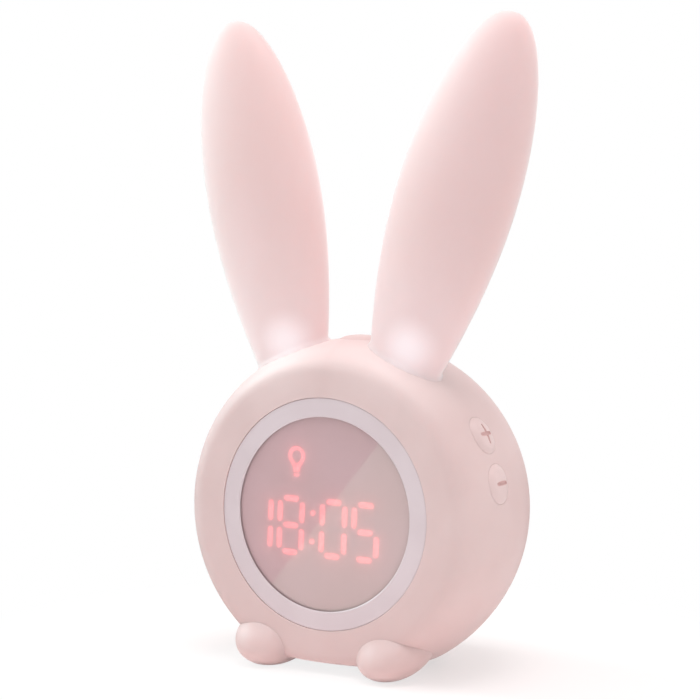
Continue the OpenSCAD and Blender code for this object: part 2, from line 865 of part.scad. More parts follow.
module main_board() color(board_green) in_body() difference() {
    plate(main_board_y + board_t, board_t)
        soft_rectangle(2 * (post_x + post_r), 2 * (post_h + post_r), post_r);
    at_posts() rod(0, 0, spacer_bore_r, main_board_y - 1, main_board_y + board_t + 1);
}

module board_screws() color(metal_grey) in_body() at_posts()
    translate([0, main_board_y + board_t, 0])
    about_axis()
    screw(board_screw, main_board_y + board_t - (front_y + wall + 3));

module control_chips() color(dark_grey) in_body() {
    for (chip = chips)
        plate(main_board_y + board_t + chip[4], chip[4])
        translate([chip[0], post_h - chip[1]])
        square([chip[2], chip[3]], center = true);
}

module battery_holder() color(dark_grey) in_body() {
    back = main_board_y + board_t;
    half_l = cell_l / 2 + cell_room + holder_wall;
    half_w = cell_r + holder_wall;
    difference() {
        translate([-half_l, back, cell_h - half_w]) cube([2 * half_l, holder_h, 2 * half_w]);
        translate([holder_wall - half_l, back + holder_floor, cell_h - cell_r - fit])
            cube([2 * (half_l - holder_wall), holder_h, 2 * (cell_r + fit)]);
        translate([-cell_l / 4, back + holder_h - holder_notch, cell_h - half_w - 1])
            cube([cell_l / 2, holder_h, 2 * half_w + 2]);
    }
}

module battery_cell() color([0.25, 0.45, 0.75]) in_body()
    translate([-cell_l / 2, main_board_y + board_t + holder_floor + cell_r + fit, cell_h])
    rotate([0, 90, 0])
    union() {
        cylinder(r = cell_r, h = cell_l - cell_tip);
        cylinder(r = cell_r * 0.42, h = cell_l);
    }

// Bent contact plates at the two ends of the cell
module battery_contacts() color(metal_grey) in_body()
    for (s = [-1, 1])
        translate([
            s * (cell_l + cell_room) / 2,
            main_board_y + board_t + (holder_floor + holder_h) / 2,
            cell_h
        ])
        difference() {
            cube([cell_room, holder_h - holder_floor - 0.3, 8], center = true);
            translate([-s * 0.5, 0, 0]) cube([cell_room - 0.4, holder_h, 6.8], center = true);
        }

module speaker_frame() color(dark_grey) in_body()
    translate([0, 0, speaker_h])
    about_axis()
    rotate_extrude()
    polygon([for (corner = [
        [0, speaker_depth],
        [0.5, speaker_depth],
        [0.5, speaker_bowl + 0.8],
        [0.86, speaker_flange],
        [1, speaker_flange],
        [1, 0],
        [0.86, 0],
        [0.8, speaker_flange],
        [0.4, speaker_bowl],
        [0, speaker_bowl]
    ]) speaker_point(corner)]);

// A corner given by its share of the loudspeaker's radius and its depth below the cover
function speaker_point(corner) = [speaker_r * corner[0], rear_depth - wall - corner[1]];

module speaker_cone() color([0.3, 0.3, 0.32]) in_body()
    translate([0, 0, speaker_h])
    about_axis()
    rotate_extrude()
    polygon([for (corner = [
        [0, speaker_cap + 1],
        [0.3, speaker_cap + 1.6],
        [0.4, speaker_bowl],
        [0.8, speaker_flange],
        [0.76, speaker_flange - cone_t],
        [0.36, speaker_cap + 1.3],
        [0.3, speaker_cap + 0.6],
        [0, speaker_cap]
    ]) speaker_point(corner)]);

// Front face of the charging socket's board
function usb_board_y() = rear_depth - usb_sink - usb_len - board_t;

module charging_board() color(board_green) in_body() difference() {
    plate(usb_board_y() + board_t, board_t)
        translate([0, usb_h])
        soft_rectangle(usb_board[0], usb_board[1], 2);
    for (s = [-1, 1])
        rod(s * usb_boss_x, usb_h, small_screw[0] + 0.2, usb_board_y() - 1, usb_board_y() + board_t + 1);
}

module charging_socket() color(metal_grey) in_body() {
    difference() {
        plate(rear_depth - usb_sink, usb_len) translate([0, usb_h]) slot(usb_w, usb_t);
        plate(rear_depth, usb_len - 1 + usb_sink) translate([0, usb_h]) slot(usb_w - 0.7, usb_t - 0.7);
    }
    plate(rear_depth - usb_sink - 0.9, usb_len - 0.9)
        translate([0, usb_h])
        square([6.6, 0.7], center = true);
}

module charging_board_screws() color(metal_grey) in_body()
    for (s = [-1, 1])
        translate([s * usb_boss_x, usb_board_y(), usb_h])
        rotate([90, 0, 0])
        screw(small_screw, board_t + small_bite);

// Key boards, switches and buttons

module key_board_outline() difference() {
    square([key_board_l, key_board_w], center = true);
    for (s = [-1, 1])
        translate([0, s * key_boss_y]) circle(r = small_screw[0] + 0.2);
}

module right_key_board() in_body() in_keys()
    translate([0, 0, key_board_h])
    linear_extrude(height = board_t)
    key_board_outline();

module key_board_right() color(board_green) right_key_board();

module key_board_left() color(board_green) mirror([1, 0, 0]) right_key_board();

module key_board_screws() color(metal_grey) in_body() both_sides() in_keys()
    for (s = [-1, 1])
        translate([0, s * key_boss_y, key_board_h])
        rotate([180, 0, 0])
        screw(small_screw, board_t + small_bite);

// Places of the five switches: each child is drawn up from the board's lower face
module at_right_key(s) in_keys() translate([s * key_offset, 0, key_board_h]) children();

module at_top_key() translate([0, 0, light_board_h]) children();

module switch_case() translate([0, 0, board_t]) difference() {
    translate([-switch_w / 2, -switch_w / 2, 0]) cube([switch_w, switch_w, switch_h]);
    translate([0, 0, switch_h - bore_depth]) cylinder(r = plunger_r + fit, h = bore_depth + 1);
}

module key_switches() color([0.25, 0.25, 0.27]) in_body() {
    both_sides() for (s = [-1, 1]) at_right_key(s) switch_case();
    at_top_key() switch_case();
}

module switch_plunger()
    translate([0, 0, plunger_top - plunger_out - plunger_in])
    cylinder(r = plunger_r, h = plunger_out + plunger_in);

// Radius of the body where the side buttons stand
function key_body_r() = front_radius(key_fwd, 0);

// A side button on the right: domed head, rim behind the wall and stem on the plunger
module side_button(s) in_body() at_right_key(s) {
    swing = asin(s * key_offset / key_body_r());
    dome_h = key_body_r() + key_rise - key_dome_r;
    rim_h = key_rim_h - key_board_h;
    intersection() {
        translate([0, 0, rim_h])
            linear_extrude(height = body_r)
            slot(key_l, key_w);
        translate([sin(swing) * dome_h - s * key_offset, 0, cos(swing) * dome_h - key_board_h])
            sphere(r = key_dome_r);
    }
    translate([0, 0, rim_h])
        linear_extrude(height = key_rim_t)
        slot(key_l + 2 * key_rim, key_w + 2 * key_rim);
    translate([0, 0, plunger_top]) cylinder(r = stem_r, h = rim_h - plunger_top + eps);
}

module plus_button() color(body_pink) side_button(-1);

module minus_button() color(body_pink) side_button(1);

module mode_button() color(body_pink) mirror([1, 0, 0]) side_button(-1);

module alarm_button() color(body_pink) mirror([1, 0, 0]) side_button(1);

module plus_plunger() color(dark_grey) in_body() at_right_key(-1) switch_plunger();

module minus_plunger() color(dark_grey) in_body() at_right_key(1) switch_plunger();

module mode_plunger() color(dark_grey) in_body() mirror([1, 0, 0]) at_right_key(-1) switch_plunger();

module alarm_plunger() color(dark_grey) in_body() mirror([1, 0, 0]) at_right_key(1) switch_plunger();

module top_button() color(body_pink) in_body() {
    intersection() {
        translate([0, 0, top_rim_h]) cylinder(r = top_key_r, h = body_r);
        translate([0, 0, body_r + top_key_rise - top_dome_r]) sphere(r = top_dome_r);
    }
    translate([0, 0, top_rim_h]) cylinder(r = top_key_r + key_rim, h = key_rim_t);
    translate([0, 0, light_board_h + plunger_top])
        cylinder(r = stem_r, h = top_rim_h - light_board_h - plunger_top + eps);
}

module top_plunger() color(dark_grey) in_body() at_top_key() switch_plunger();

// Ear lights

module ear_light_board() color([0.93, 0.93, 0.90]) in_body() difference() {
    translate([-light_board[0] / 2, light_board_y - light_board[1] / 2, light_board_h])
        cube([light_board[0], light_board[1], board_t]);
    for (s = [-1, 1])
        translate([s * light_boss[0], light_boss[1], light_board_h - 1])
        cylinder(r = small_screw[0] + 0.2, h = board_t + 2);
}

module ear_light_leds() color([0.98, 0.95, 0.80]) in_body() both_sides()
    for (i = [-1 : 1])
        translate([ear_root_x + ear_lamp_pitch * i, -ear_root_fwd, light_board_top + ear_lamp[2] / 2])
        cube(ear_lamp, center = true);

module light_board_screws() color(metal_grey) in_body()
    for (s = [-1, 1])
        translate([s * light_boss[0], light_boss[1], light_board_h])
        rotate([180, 0, 0])
        screw(small_screw, board_t + small_bite);

module rear_screws() color(metal_grey) in_body() at_rear_screws()
    translate([0, seam_y + well_floor, 0])
    about_axis()
    screw(rear_screw, rear_screw_l);

front_shell();
rear_cover();
ear_right();
ear_left();
foot_right();
foot_left();
foot_screws();
rear_foot_pad();
bezel_ring();
display_window();
light_box();
digit_segments();
unlit_segments();
bulb_sign();
display_leds();
display_board();
board_spacers();
main_board();
board_screws();
control_chips();
battery_holder();
battery_cell();
battery_contacts();
speaker_frame();
speaker_cone();
charging_board();
charging_socket();
charging_board_screws();
key_board_right();
key_board_left();
key_board_screws();
key_switches();
plus_button();
minus_button();
mode_button();
alarm_button();
top_button();
plus_plunger();
minus_plunger();
mode_plunger();
alarm_plunger();
top_plunger();
ear_light_board();
ear_light_leds();
light_board_screws();
rear_screws();
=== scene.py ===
# %% [markdown]
# # A bedside clock with glowing ears
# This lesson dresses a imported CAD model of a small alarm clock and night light. The CAD
# model brings every size. Blender adds smooth skins, soft edges, finishes, light and a
# camera. The clock stands on the floor at z = 0 and its display faces -Y. Blender works in
# metres, so the sizes below, which are millimetres, are turned into metres in one place.

# %% The frame
import math

import bmesh
import bpy
import numpy as np
from mathutils import Matrix, Vector
from mathutils.bvhtree import BVHTree


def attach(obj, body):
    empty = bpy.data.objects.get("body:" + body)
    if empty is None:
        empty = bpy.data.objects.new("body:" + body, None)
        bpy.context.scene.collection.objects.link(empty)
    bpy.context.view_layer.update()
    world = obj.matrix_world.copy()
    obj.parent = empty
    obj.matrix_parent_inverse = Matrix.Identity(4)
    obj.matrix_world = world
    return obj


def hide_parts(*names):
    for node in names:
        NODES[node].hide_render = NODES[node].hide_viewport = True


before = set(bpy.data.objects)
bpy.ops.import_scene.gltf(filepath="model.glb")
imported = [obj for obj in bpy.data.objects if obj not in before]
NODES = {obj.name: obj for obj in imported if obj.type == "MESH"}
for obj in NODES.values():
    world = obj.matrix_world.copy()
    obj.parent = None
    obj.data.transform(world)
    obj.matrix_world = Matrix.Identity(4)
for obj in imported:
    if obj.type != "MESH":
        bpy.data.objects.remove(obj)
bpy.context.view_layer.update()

# %% [markdown]
# ## Sizes of the clock
# The real clock is two plastic mouldings, a round front shell and a domed rear cover. Their
# outline follows a superellipse, which is a little squarer than an ellipse. The same few
# numbers shape the body, place the keys on it and seat the ears and feet, so they are
# named once. The body frame has its origin in the middle of the body's widest section,
# half way up the body.

# %% Sizes
MM = 0.001
BODY_Y, AXIS_H = -7.5, 50.0
BODY_R, FACE_R = 54.0, 43.8
FRONT_DEPTH, REAR_DEPTH, REAR_CURVE, SEAM_Y = 23.2, 44.0, 52.6, 28.0
FRONT_BEND, REAR_BEND = 2.24, 2.16
UNDER_Z, WALL = 3.4 - AXIS_H, 2.2
BEZEL_R, VIEW_R, WINDOW_R, COLLAR_R = 36.3, 30.3, 31.2, 33.6
FIT = 0.1
FRONT_Y = -FRONT_DEPTH
BEZEL_FACE_Y = FRONT_Y - 0.2
BEZEL_SEAT_Y = BEZEL_FACE_Y + 1.4
WINDOW_Y = BEZEL_FACE_Y + 0.8
BOX_Y, BOX_DEPTH = WINDOW_Y + 1.5, 8.0
COLLAR_BACK_Y = BOX_Y + BOX_DEPTH - 0.9


def in_row(points):
    """Millimetres in the body frame become metres in the frame of the CAD model."""
    return (np.asarray(points, float) + (0, BODY_Y, AXIS_H)) * MM


def front_radius(y):
    """Radius of the body at a place y in front of its widest section, where y < 0."""
    share = np.clip(-np.asarray(y, float) / FRONT_DEPTH, 0, 1)
    return FACE_R + (BODY_R - FACE_R) * (1 - share**FRONT_BEND) ** (1 / FRONT_BEND)


def rear_radius(y):
    """Radius of the body at a place y behind its widest section."""
    share = np.clip(np.asarray(y, float) / REAR_CURVE, 0, 1)
    return BODY_R * (1 - share**REAR_BEND) ** (1 / REAR_BEND)


def body_radius(y):
    """Radius of the body at any place y."""
    return np.where(np.asarray(y) < 0, front_radius(y), rear_radius(y))


def soft_max(a, b, k):
    """The larger of two values, with the corner between them rounded over a band of 2 k."""
    h = np.maximum(k - np.abs(a - b), 0)
    return np.maximum(a, b) + h * h / (4 * k)


print("body radius at the face, the middle and the seam:",
      [round(float(body_radius(y)), 2) for y in (FRONT_Y + 0.01, 0, SEAM_Y)])

# %% [markdown]
# ## Nodes written as sums
# Materials and Geometry Nodes trees are both node trees. A long chain of Math nodes is hard
# to read, so a small class wraps a socket and turns +, -, *, / and ** into Math nodes.
# Every other node comes from one method, which takes the node's type, its settings, and
# the values or links of its sockets.


# %% Node helpers
class Wire:
    """One output of a node, which may stand in a sum."""

    def __init__(self, graph, socket):
        self.graph, self.socket = graph, socket

    def math(self, operation, *others):
        return self.graph.maths(operation, self, *others)

    def __add__(self, other):
        return self.math("ADD", other)

    def __sub__(self, other):
        return self.math("SUBTRACT", other)

    def __rsub__(self, other):
        return self.graph.maths("SUBTRACT", other, self)

    def __mul__(self, other):
        return self.math("MULTIPLY", other)

    def __truediv__(self, other):
        return self.math("DIVIDE", other)

    def __pow__(self, other):
        return self.math("POWER", other)

    __radd__, __rmul__ = __add__, __mul__

    def __getitem__(self, name):
        """Another output of the same node."""
        return Wire(self.graph, self.socket.node.outputs[name])


class Graph:
    """A node tree that is filled from Python."""

    def __init__(self, tree):
        self.tree = tree

    def node(self, kind, settings=None, inputs=None):
        made = self.tree.nodes.new(kind)
        for name, value in (settings or {}).items():
            setattr(made, name, value)
        for key, value in (inputs or {}).items():
            socket = made.inputs[key]
            if isinstance(key, str):
                socket = next(s for s in made.inputs if s.name == key and s.enabled)
            self.feed(socket, value)
        return Wire(self, next((s for s in made.outputs if s.enabled), None))

    def feed(self, socket, value):
        """Gives a socket a plain value, or a link where the value is a wire."""
        if isinstance(value, Wire):
            self.tree.links.new(value.socket, socket)
        else:
            socket.default_value = value

    def maths(self, operation, *values):
        return self.node("ShaderNodeMath", {"operation": operation}, dict(enumerate(values)))

    def vector(self, operation, *values):
        return self.node("ShaderNodeVectorMath", {"operation": operation}, dict(enumerate(values)))

    def split(self, vector):
        return self.node("ShaderNodeSeparateXYZ", None, {0: vector})

    def join(self, x, y, z):
        return self.node("ShaderNodeCombineXYZ", None, {0: x, 1: y, 2: z})


class Finish(Graph):
    """A material: one Principled shader, with patterns that read Object coordinates."""

    def __init__(self, name, **sockets):
        self.material = bpy.data.materials.new(name)
        self.material.use_nodes = True
        super().__init__(self.material.node_tree)
        self.tree.nodes.clear()
        self.shader = self.tree.nodes.new("ShaderNodeBsdfPrincipled")
        self.place = self.node("ShaderNodeTexCoord")["Object"]
        self.set(**sockets)
        self.surface = Wire(self, self.shader.outputs[0])
        self.end = self.tree.nodes.new("ShaderNodeOutputMaterial")
        self.show(self.surface)

    def show(self, surface):
        """Makes a shader what the material shows."""
        self.feed(self.end.inputs["Surface"], surface)

    def set(self, **sockets):
        for name, value in sockets.items():
            self.feed(self.shader.inputs[name.replace("_", " ")], value)

    def noise(self, size_mm, detail, stretch=(1, 1, 1)):
        """Even noise from 0 to 1, whose patches are about size_mm across."""
        inputs = {"Vector": self.vector("MULTIPLY", self.place, stretch),
                  "Scale": 1 / (size_mm * MM), "Detail": detail}
        return self.node("ShaderNodeTexNoise", None, inputs)

    def mix(self, factor, first, second):
        return self.node("ShaderNodeMix", {"data_type": "RGBA"},
                         {"Factor": factor, "A": first, "B": second})

    def steps(self, value, low, high):
        """A smooth ramp from 0 to 1 between two values."""
        return self.node("ShaderNodeMapRange", {"interpolation_type": "SMOOTHSTEP"},
                         {"Value": value, "From Min": low, "From Max": high})

    def drift(self, noise, light, deep):
        """A colour that drifts between two tones over the middle of a noise's range."""
        return self.mix(self.steps(noise, 0.35, 0.65), light, deep)

    def bump(self, height, depth_mm):
        self.set(Normal=self.node("ShaderNodeBump", None,
                                  {"Height": height, "Distance": depth_mm * MM, "Strength": 1.0}))

    def grain(self, size_mm, roughness, spread, depth_mm):
        """A fine texture that both the roughness and the normal follow."""
        dots = self.noise(size_mm, 2.0)
        self.set(Roughness=roughness + (dots - 0.5) * spread)
        self.bump(dots, depth_mm)


def tone(red, green, blue):
    """A colour as it is seen on a screen, 0 to 255, as the linear values of a shader."""
    def linear(value):
        value /= 255
        return value / 12.92 if value <= 0.04045 else ((value + 0.055) / 1.055) ** 2.4
    return (linear(red), linear(green), linear(blue), 1.0)


print("a grey of 128 on a screen is", round(tone(128, 128, 128)[0], 3), "in a shader")

# %% [markdown]
# ## The camera
# The camera looks from the right and a little from above, from about 0.64 m away, through
# a long lens, so the body stays round and the ears don't spread. Its place and its three
# axes were worked out from the clock's proportions, and are written as a matrix.

# %% Camera
SENSOR_MM, FOCAL_PX, FRAME_PX = 36.0, 1984.86, 700
camera_data = bpy.data.cameras.new("camera")
camera_data.sensor_width = SENSOR_MM
camera_data.lens = SENSOR_MM * FOCAL_PX / FRAME_PX
camera_data.clip_start, camera_data.clip_end = 0.01, 20.0
camera = bpy.data.objects.new("camera", camera_data)
bpy.context.scene.collection.objects.link(camera)
camera_right = Vector((0.871422, 0.490193, 0.018300))
camera_up = Vector((-0.047617, 0.047402, 0.997740))
camera_back = Vector((0.488218, -0.870324, 0.064649))
turn = Matrix((camera_right, camera_up, camera_back)).transposed().to_4x4()
camera.matrix_world = Matrix.Translation((0.30543, -0.55932, 0.14085)) @ turn
bpy.context.scene.camera = camera
print("lens", round(camera_data.lens, 1), "mm")

# %% [markdown]
# ## Lamps and world
# The clock is lit as on a product table: large soft lamps on the left and above, a weak
# one behind on the right, and an even white world. Each lamp is a disc that looks at the
# middle of the clock. The world is plain white to the camera, to mirrors and through
# glass, and dimmer as a light, so that the clock's own colours stay as they are.

# %% Lamps and world
scene = bpy.context.scene
scene.view_settings.view_transform = "Standard"
CLOCK_MIDDLE = Vector((0, 0, 0.09))
AMBIENT, WHITE, DARK = 0.59, (1, 1, 1, 1), (0, 0, 0, 1)
# Where a lamp stands, its width in metres, its power in watts and its colour
LAMPS = {"key_lamp": ((-1.05, -0.1, 0.75), 0.7, 7.3, (0.72, 1.0, 1.0)),
         "top_lamp": ((0.1, -0.1, 1.25), 0.8, 8.6, (1.0, 1.0, 1.0)),
         "rim_lamp": ((0.95, 0.5, 0.4), 0.5, 1.0, (1.0, 0.94, 0.88))}
for name, (place, size, watts, shade) in LAMPS.items():
    data = bpy.data.lights.new(name, "AREA")
    data.shape, data.size, data.energy, data.color = "DISK", size, watts, shade
    lamp = bpy.data.objects.new(name, data)
    lamp.location = place
    lamp.rotation_euler = (CLOCK_MIDDLE - Vector(place)).to_track_quat("-Z", "Y").to_euler()
    scene.collection.objects.link(lamp)


def seen_rays(graph):
    """1 for rays from the camera, from mirrors and through glass, and the node they are from."""
    ray = graph.node("ShaderNodeLightPath")
    seen = ray["Is Camera Ray"].math("MAXIMUM", ray["Is Glossy Ray"])
    return seen.math("MAXIMUM", ray["Is Transmission Ray"]), ray


world = bpy.data.worlds.new("studio")
scene.world = world
world.use_nodes = True
world.node_tree.nodes.clear()
sky = Graph(world.node_tree)
strength = AMBIENT + seen_rays(sky)[0] * (1 - AMBIENT)
glow = sky.node("ShaderNodeBackground", None, {"Color": WHITE, "Strength": strength})
sky.node("ShaderNodeOutputWorld", None, {"Surface": glow})
print("lamps:", len(LAMPS), "and the world")

# %% [markdown]
# ## The floor
# The floor has to look white without more light on the clock, so what the camera sees of
# it is partly a plain white glow, and the rest is lit floor, which keeps the shadow. Away
# from the clock the glow takes over, and floor and world meet without a line. A little of
# it also lies between the feet, where light comes in under the clock. Mirror rays see the
# floor as a studio too: a pale table with the straight edge of a white card, which the
# clock's window mirrors.

# %% Floor
FLOOR_REACH = 4.0
# The pink near the clock is painted bounce light; the lit floor clips to white, so it shows only in
# shadow
FLOOR_PINK_BOUNCE, FLOOR_FAR = (1.0, 0.88, 0.87, 1), (0.95, 0.95, 0.95, 1)
# The glow's share of the floor: everywhere, added between the feet, and added far away
GLOW_ALL, GLOW_FRONT, GLOW_FAR = 0.58, 0.24, 0.42
FAR_BAND, FRONT_BAND, BETWEEN_FEET = (0.06, 0.14), (0.055, 0.02), (-0.012, -0.038, 0.0)
floor_mesh = bpy.data.meshes.new("floor")
corners = [(-FLOOR_REACH, -FLOOR_REACH, 0), (FLOOR_REACH, -FLOOR_REACH, 0),
           (FLOOR_REACH, FLOOR_REACH, 0), (-FLOOR_REACH, FLOOR_REACH, 0)]
floor_mesh.from_pydata(corners, [], [(0, 1, 2, 3)])
floor = bpy.data.objects.new("floor", floor_mesh)
scene.collection.objects.link(floor)

floor_finish = Finish("floor", Roughness=0.9)
seen, ray = seen_rays(floor_finish)
distance = floor_finish.vector("LENGTH", floor_finish.place)["Value"]
far = floor_finish.steps(distance, *FAR_BAND)
floor_finish.set(Base_Color=floor_finish.mix(far, FLOOR_PINK_BOUNCE, FLOOR_FAR))
to_front = floor_finish.vector("DISTANCE", floor_finish.place, BETWEEN_FEET)["Value"]
front = floor_finish.steps(to_front, *FRONT_BAND)
share = seen * (GLOW_ALL + front * GLOW_FRONT + far * GLOW_FAR)
share = share.math("MAXIMUM", ray["Is Glossy Ray"])

# The card's edge is a straight line over the floor; beyond it, mirrors see the dark room
EDGE_A, EDGE_B, EDGE_SOFT = Vector((-0.0965, -0.1597)), Vector((-0.2873, -0.5931)), 0.0003
edge_side = (EDGE_B - EDGE_A).normalized()
spot = floor_finish.split(floor_finish.place)
over_card = (spot["Y"] - EDGE_A.y) * edge_side.x - (spot["X"] - EDGE_A.x) * edge_side.y
over_card = floor_finish.steps(over_card, -EDGE_SOFT, EDGE_SOFT)
dark_room = ray["Is Glossy Ray"] * (1 - over_card)
white = floor_finish.node("ShaderNodeEmission", None, {"Color": WHITE, "Strength": 1 - dark_room})
floor_finish.show(floor_finish.node("ShaderNodeMixShader", None,
                                    {0: share, 1: floor_finish.surface, 2: white}))
floor_mesh.materials.append(floor_finish.material)
print("floor:", 2 * FLOOR_REACH, "m square")

# %% [markdown]
# ## Finishes of the housing
# The housing is moulded in one pale pink plastic. Such a moulding has a fine spark-eroded
# texture, too small to see as dots but enough to spread its highlights, and its tone
# drifts a little where the plastic flowed. The keys are a shade paler. The bezel is a
# satin lacquer in pale lilac, and its inner wall is painted dark as shade.

# %% Housing finishes
def moulded(name, light, deep, roughness, **more):
    """Plastic with a slow drift of tone and a fine eroded texture."""
    made = Finish(name, Specular_IOR_Level=0.5, **more)
    made.set(Base_Color=made.drift(made.noise(22.0, 3.0), light, deep))
    made.grain(0.35, roughness, 0.12, 0.006)
    return made


def mottled(name, pattern, light, deep, **more):
    """A finish in patches of two colours; pattern is what its noise takes."""
    made = Finish(name, **more)
    made.patches = made.noise(*pattern)
    made.set(Base_Color=made.mix(made.patches, light, deep))
    return made


body_finish = moulded("body_plastic", tone(226, 198, 196), tone(223, 194, 192), 0.5,
                      Subsurface_Weight=0.12, Subsurface_Radius=(1.0, 0.5, 0.45),
                      Subsurface_Scale=0.003)
pad_finish = moulded("pad_rubber", tone(224, 204, 203), tone(216, 195, 195), 0.8)
bezel_finish = moulded("bezel_satin", tone(223, 206, 210), tone(219, 201, 205), 0.36)
# The bezel's inner wall: a dark tone painted as the shade in its narrow recess
painted_wall_shade = moulded("bezel_wall", tone(96, 76, 78), tone(88, 70, 72), 0.7)
key_finish = moulded("key_silicone", tone(229, 202, 200), tone(226, 198, 196), 0.45)
# The grooves of the engraved signs: a darker tone painted as their shade
groove_shade_finish = moulded("key_marks", tone(219, 180, 178), tone(212, 172, 170), 0.6)
print("housing finishes:", len(bpy.data.materials))

# %% [markdown]
# ## Finish of the ears
# The ears are milky silicone: softer than the housing, with a velvet sheen along the
# edges. Each has lamps under its root. The silicone glows brightest in a small oval low on
# the front, and a fainter glow fades out past the middle of the ear. A glow is a smooth
# falloff of the distance to a point in each ear, measured in a space that is squeezed
# along the ear. Object coordinates are the clock's own metres here, so one material serves
# both ears: the left one is found by taking the size of x without its sign.

# %% Ear finish
EAR_ROOT = np.array((17.1, -9.4, 35.1))
EAR_LEAN, EAR_BACK, EAR_LEN = math.radians(15.6), math.radians(4.4), 125.0
EAR_TURN = Matrix.Rotation(-EAR_BACK, 3, "X") @ Matrix.Rotation(EAR_LEAN, 3, "Y")
EAR_ALONG = tuple(EAR_TURN @ Vector((0, 0, 1)))


def ear_glow(made, forward, up, reach_across, reach_along, shift=0.0):
    """1 at a place in each ear, 0 outside an ellipsoid round it; shift moves both to +X."""
    centre = in_row(np.array(EAR_TURN @ Vector((0, -forward, up))) + EAR_ROOT)
    parts = made.split(made.place)
    one_side = made.join((parts["X"] - shift * MM).math("ABSOLUTE"), parts["Y"], parts["Z"])
    away = made.vector("SUBTRACT", one_side, tuple(centre))
    squared = made.vector("DOT_PRODUCT", away, away)["Value"]
    along = made.vector("DOT_PRODUCT", away, EAR_ALONG)["Value"]
    across = squared - along * along
    shape = across / (reach_across * MM) ** 2 + along * along / (reach_along * MM) ** 2
    return made.steps(shape.math("SQRT"), 1.0, 0.0)


ear_finish = Finish("ear_silicone", Specular_IOR_Level=0.25, Subsurface_Weight=0.25,
                    Subsurface_Radius=(1.0, 0.55, 0.5), Subsurface_Scale=0.006,
                    Sheen_Weight=1.0, Sheen_Roughness=0.5, Sheen_Tint=WHITE,
                    Emission_Strength=1.0)
ear_noise = ear_finish.noise(30.0, 2.0, (1, 1, 0.5))
ear_finish.set(Base_Color=ear_finish.drift(ear_noise, tone(236, 202, 201), tone(234, 199, 197)))
ear_finish.grain(0.5, 0.52, 0.1, 0.005)
ROOT_SHARE, WIDE_SHARE = 0.75, 0.35
root_glow = ear_glow(ear_finish, forward=6.0, up=18.0, reach_across=11.0, reach_along=12.0,
                     shift=3.0)
wide_glow = ear_glow(ear_finish, forward=0.0, up=16.0, reach_across=30.0, reach_along=60.0)
ear_light = root_glow * ROOT_SHARE + wide_glow * WIDE_SHARE
ear_finish.set(Emission_Color=ear_finish.mix(ear_light, DARK, (0.27, 0.35, 0.38, 1)))

# The same light spills onto the housing round the roots
spill = ear_glow(body_finish, forward=2.0, up=18.0, reach_across=34.0, reach_along=30.0)
body_finish.set(Emission_Strength=1.0,
                Emission_Color=body_finish.mix(spill, DARK, (0.13, 0.15, 0.15, 1)))
print("each ear leans", round(math.degrees(EAR_LEAN), 1), "degrees outwards")

# %% [markdown]
# ## Making a mesh
# Most pieces are lattices: rows of points that follow an outline, with a face between each
# four neighbours. One function makes the faces of a lattice, and one turns points into an
# object with its place in its mesh. Doubles are merged and the faces are turned outwards
# there, and edges sharper than a limit stay crisp while the rest is shaded smooth.

# %% Mesh helpers
MERGE = 1e-6


def lattice_faces(rows, columns, closed_rows=False, closed_columns=True):
    """Faces between the points of a lattice that is stored row by row."""
    faces = []
    for i in range(rows if closed_rows else rows - 1):
        for j in range(columns if closed_columns else columns - 1):
            a, b = i * columns + j, i * columns + (j + 1) % columns
            c, d = ((i + 1) % rows) * columns + (j + 1) % columns, ((i + 1) % rows) * columns + j
            faces.append((a, b, c, d))
    return faces


def make_object(name, points, faces, finishes=(), crisp=35.0):
    """An object from points in metres, closed, turned outwards and smooth."""
    mesh = bpy.data.meshes.new(name)
    mesh.from_pydata([tuple(p) for p in points], [], faces)
    shape = bmesh.new()
    shape.from_mesh(mesh)
    bmesh.ops.remove_doubles(shape, verts=shape.verts, dist=MERGE)
    bmesh.ops.dissolve_degenerate(shape, edges=shape.edges, dist=MERGE)
    bmesh.ops.recalc_face_normals(shape, faces=shape.faces)
    shape.to_mesh(mesh)
    shape.free()
    smooth(mesh, crisp)
    for item in finishes:
        mesh.materials.append(item.material)
    made = bpy.data.objects.new(name, mesh)
    scene.collection.objects.link(made)
    return made


def smooth(mesh, crisp):
    """Shades a mesh smooth, apart from edges sharper than a limit in degrees."""
    mesh.polygons.foreach_set("use_smooth", [True] * len(mesh.polygons))
    mesh.set_sharp_from_angle(angle=math.radians(crisp))


def turned(outline, steps):
    """Points of an outline of (radius, y) turned about the body's axis."""
    outline = np.asarray(outline, float)
    angle = np.linspace(0, 2 * math.pi, steps, endpoint=False)
    x = outline[:, :1] * np.sin(angle)
    z = outline[:, :1] * np.cos(angle)
    y = np.repeat(outline[:, 1:], steps, axis=1)
    return np.stack([x, y, z], -1).reshape(-1, 3)


def turned_object(name, outline, steps, finishes=(), crisp=35.0, loop=False):
    """A piece turned about the body's axis; loop joins the two ends of its outline."""
    faces = lattice_faces(len(outline), steps, closed_rows=loop)
    return make_object(name, in_row(turned(outline, steps)), faces, finishes, crisp)


def cut(target, *cutters, operation="DIFFERENCE"):
    """Cuts other objects out of a piece, or joins or crosses it with them, and removes them."""
    for cutter in cutters:
        tool = target.modifiers.new("cut", "BOOLEAN")
        tool.operation, tool.solver, tool.object = operation, "EXACT", cutter
        tool.material_mode = "TRANSFER"
        bake(target)
        bpy.data.objects.remove(cutter)


def bake(piece):
    """Turns what the modifiers make into the piece's own plain mesh."""
    bpy.context.view_layer.update()
    graph = bpy.context.evaluated_depsgraph_get()
    mesh = bpy.data.meshes.new_from_object(piece.evaluated_get(graph), depsgraph=graph)
    piece.modifiers.clear()
    old, piece.data = piece.data, mesh
    name = old.name
    bpy.data.meshes.remove(old)
    mesh.name = name
    return piece


def seat(piece, body, slot, *nodes):
    """Rides on a body and stands for CAD nodes, which it hides; slot is not used."""
    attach(piece, body)
    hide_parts(*nodes)
    print(piece.name, "faces", len(piece.data.polygons))


print("a lattice of 3 rows by 4 points has", len(lattice_faces(3, 4)), "faces")

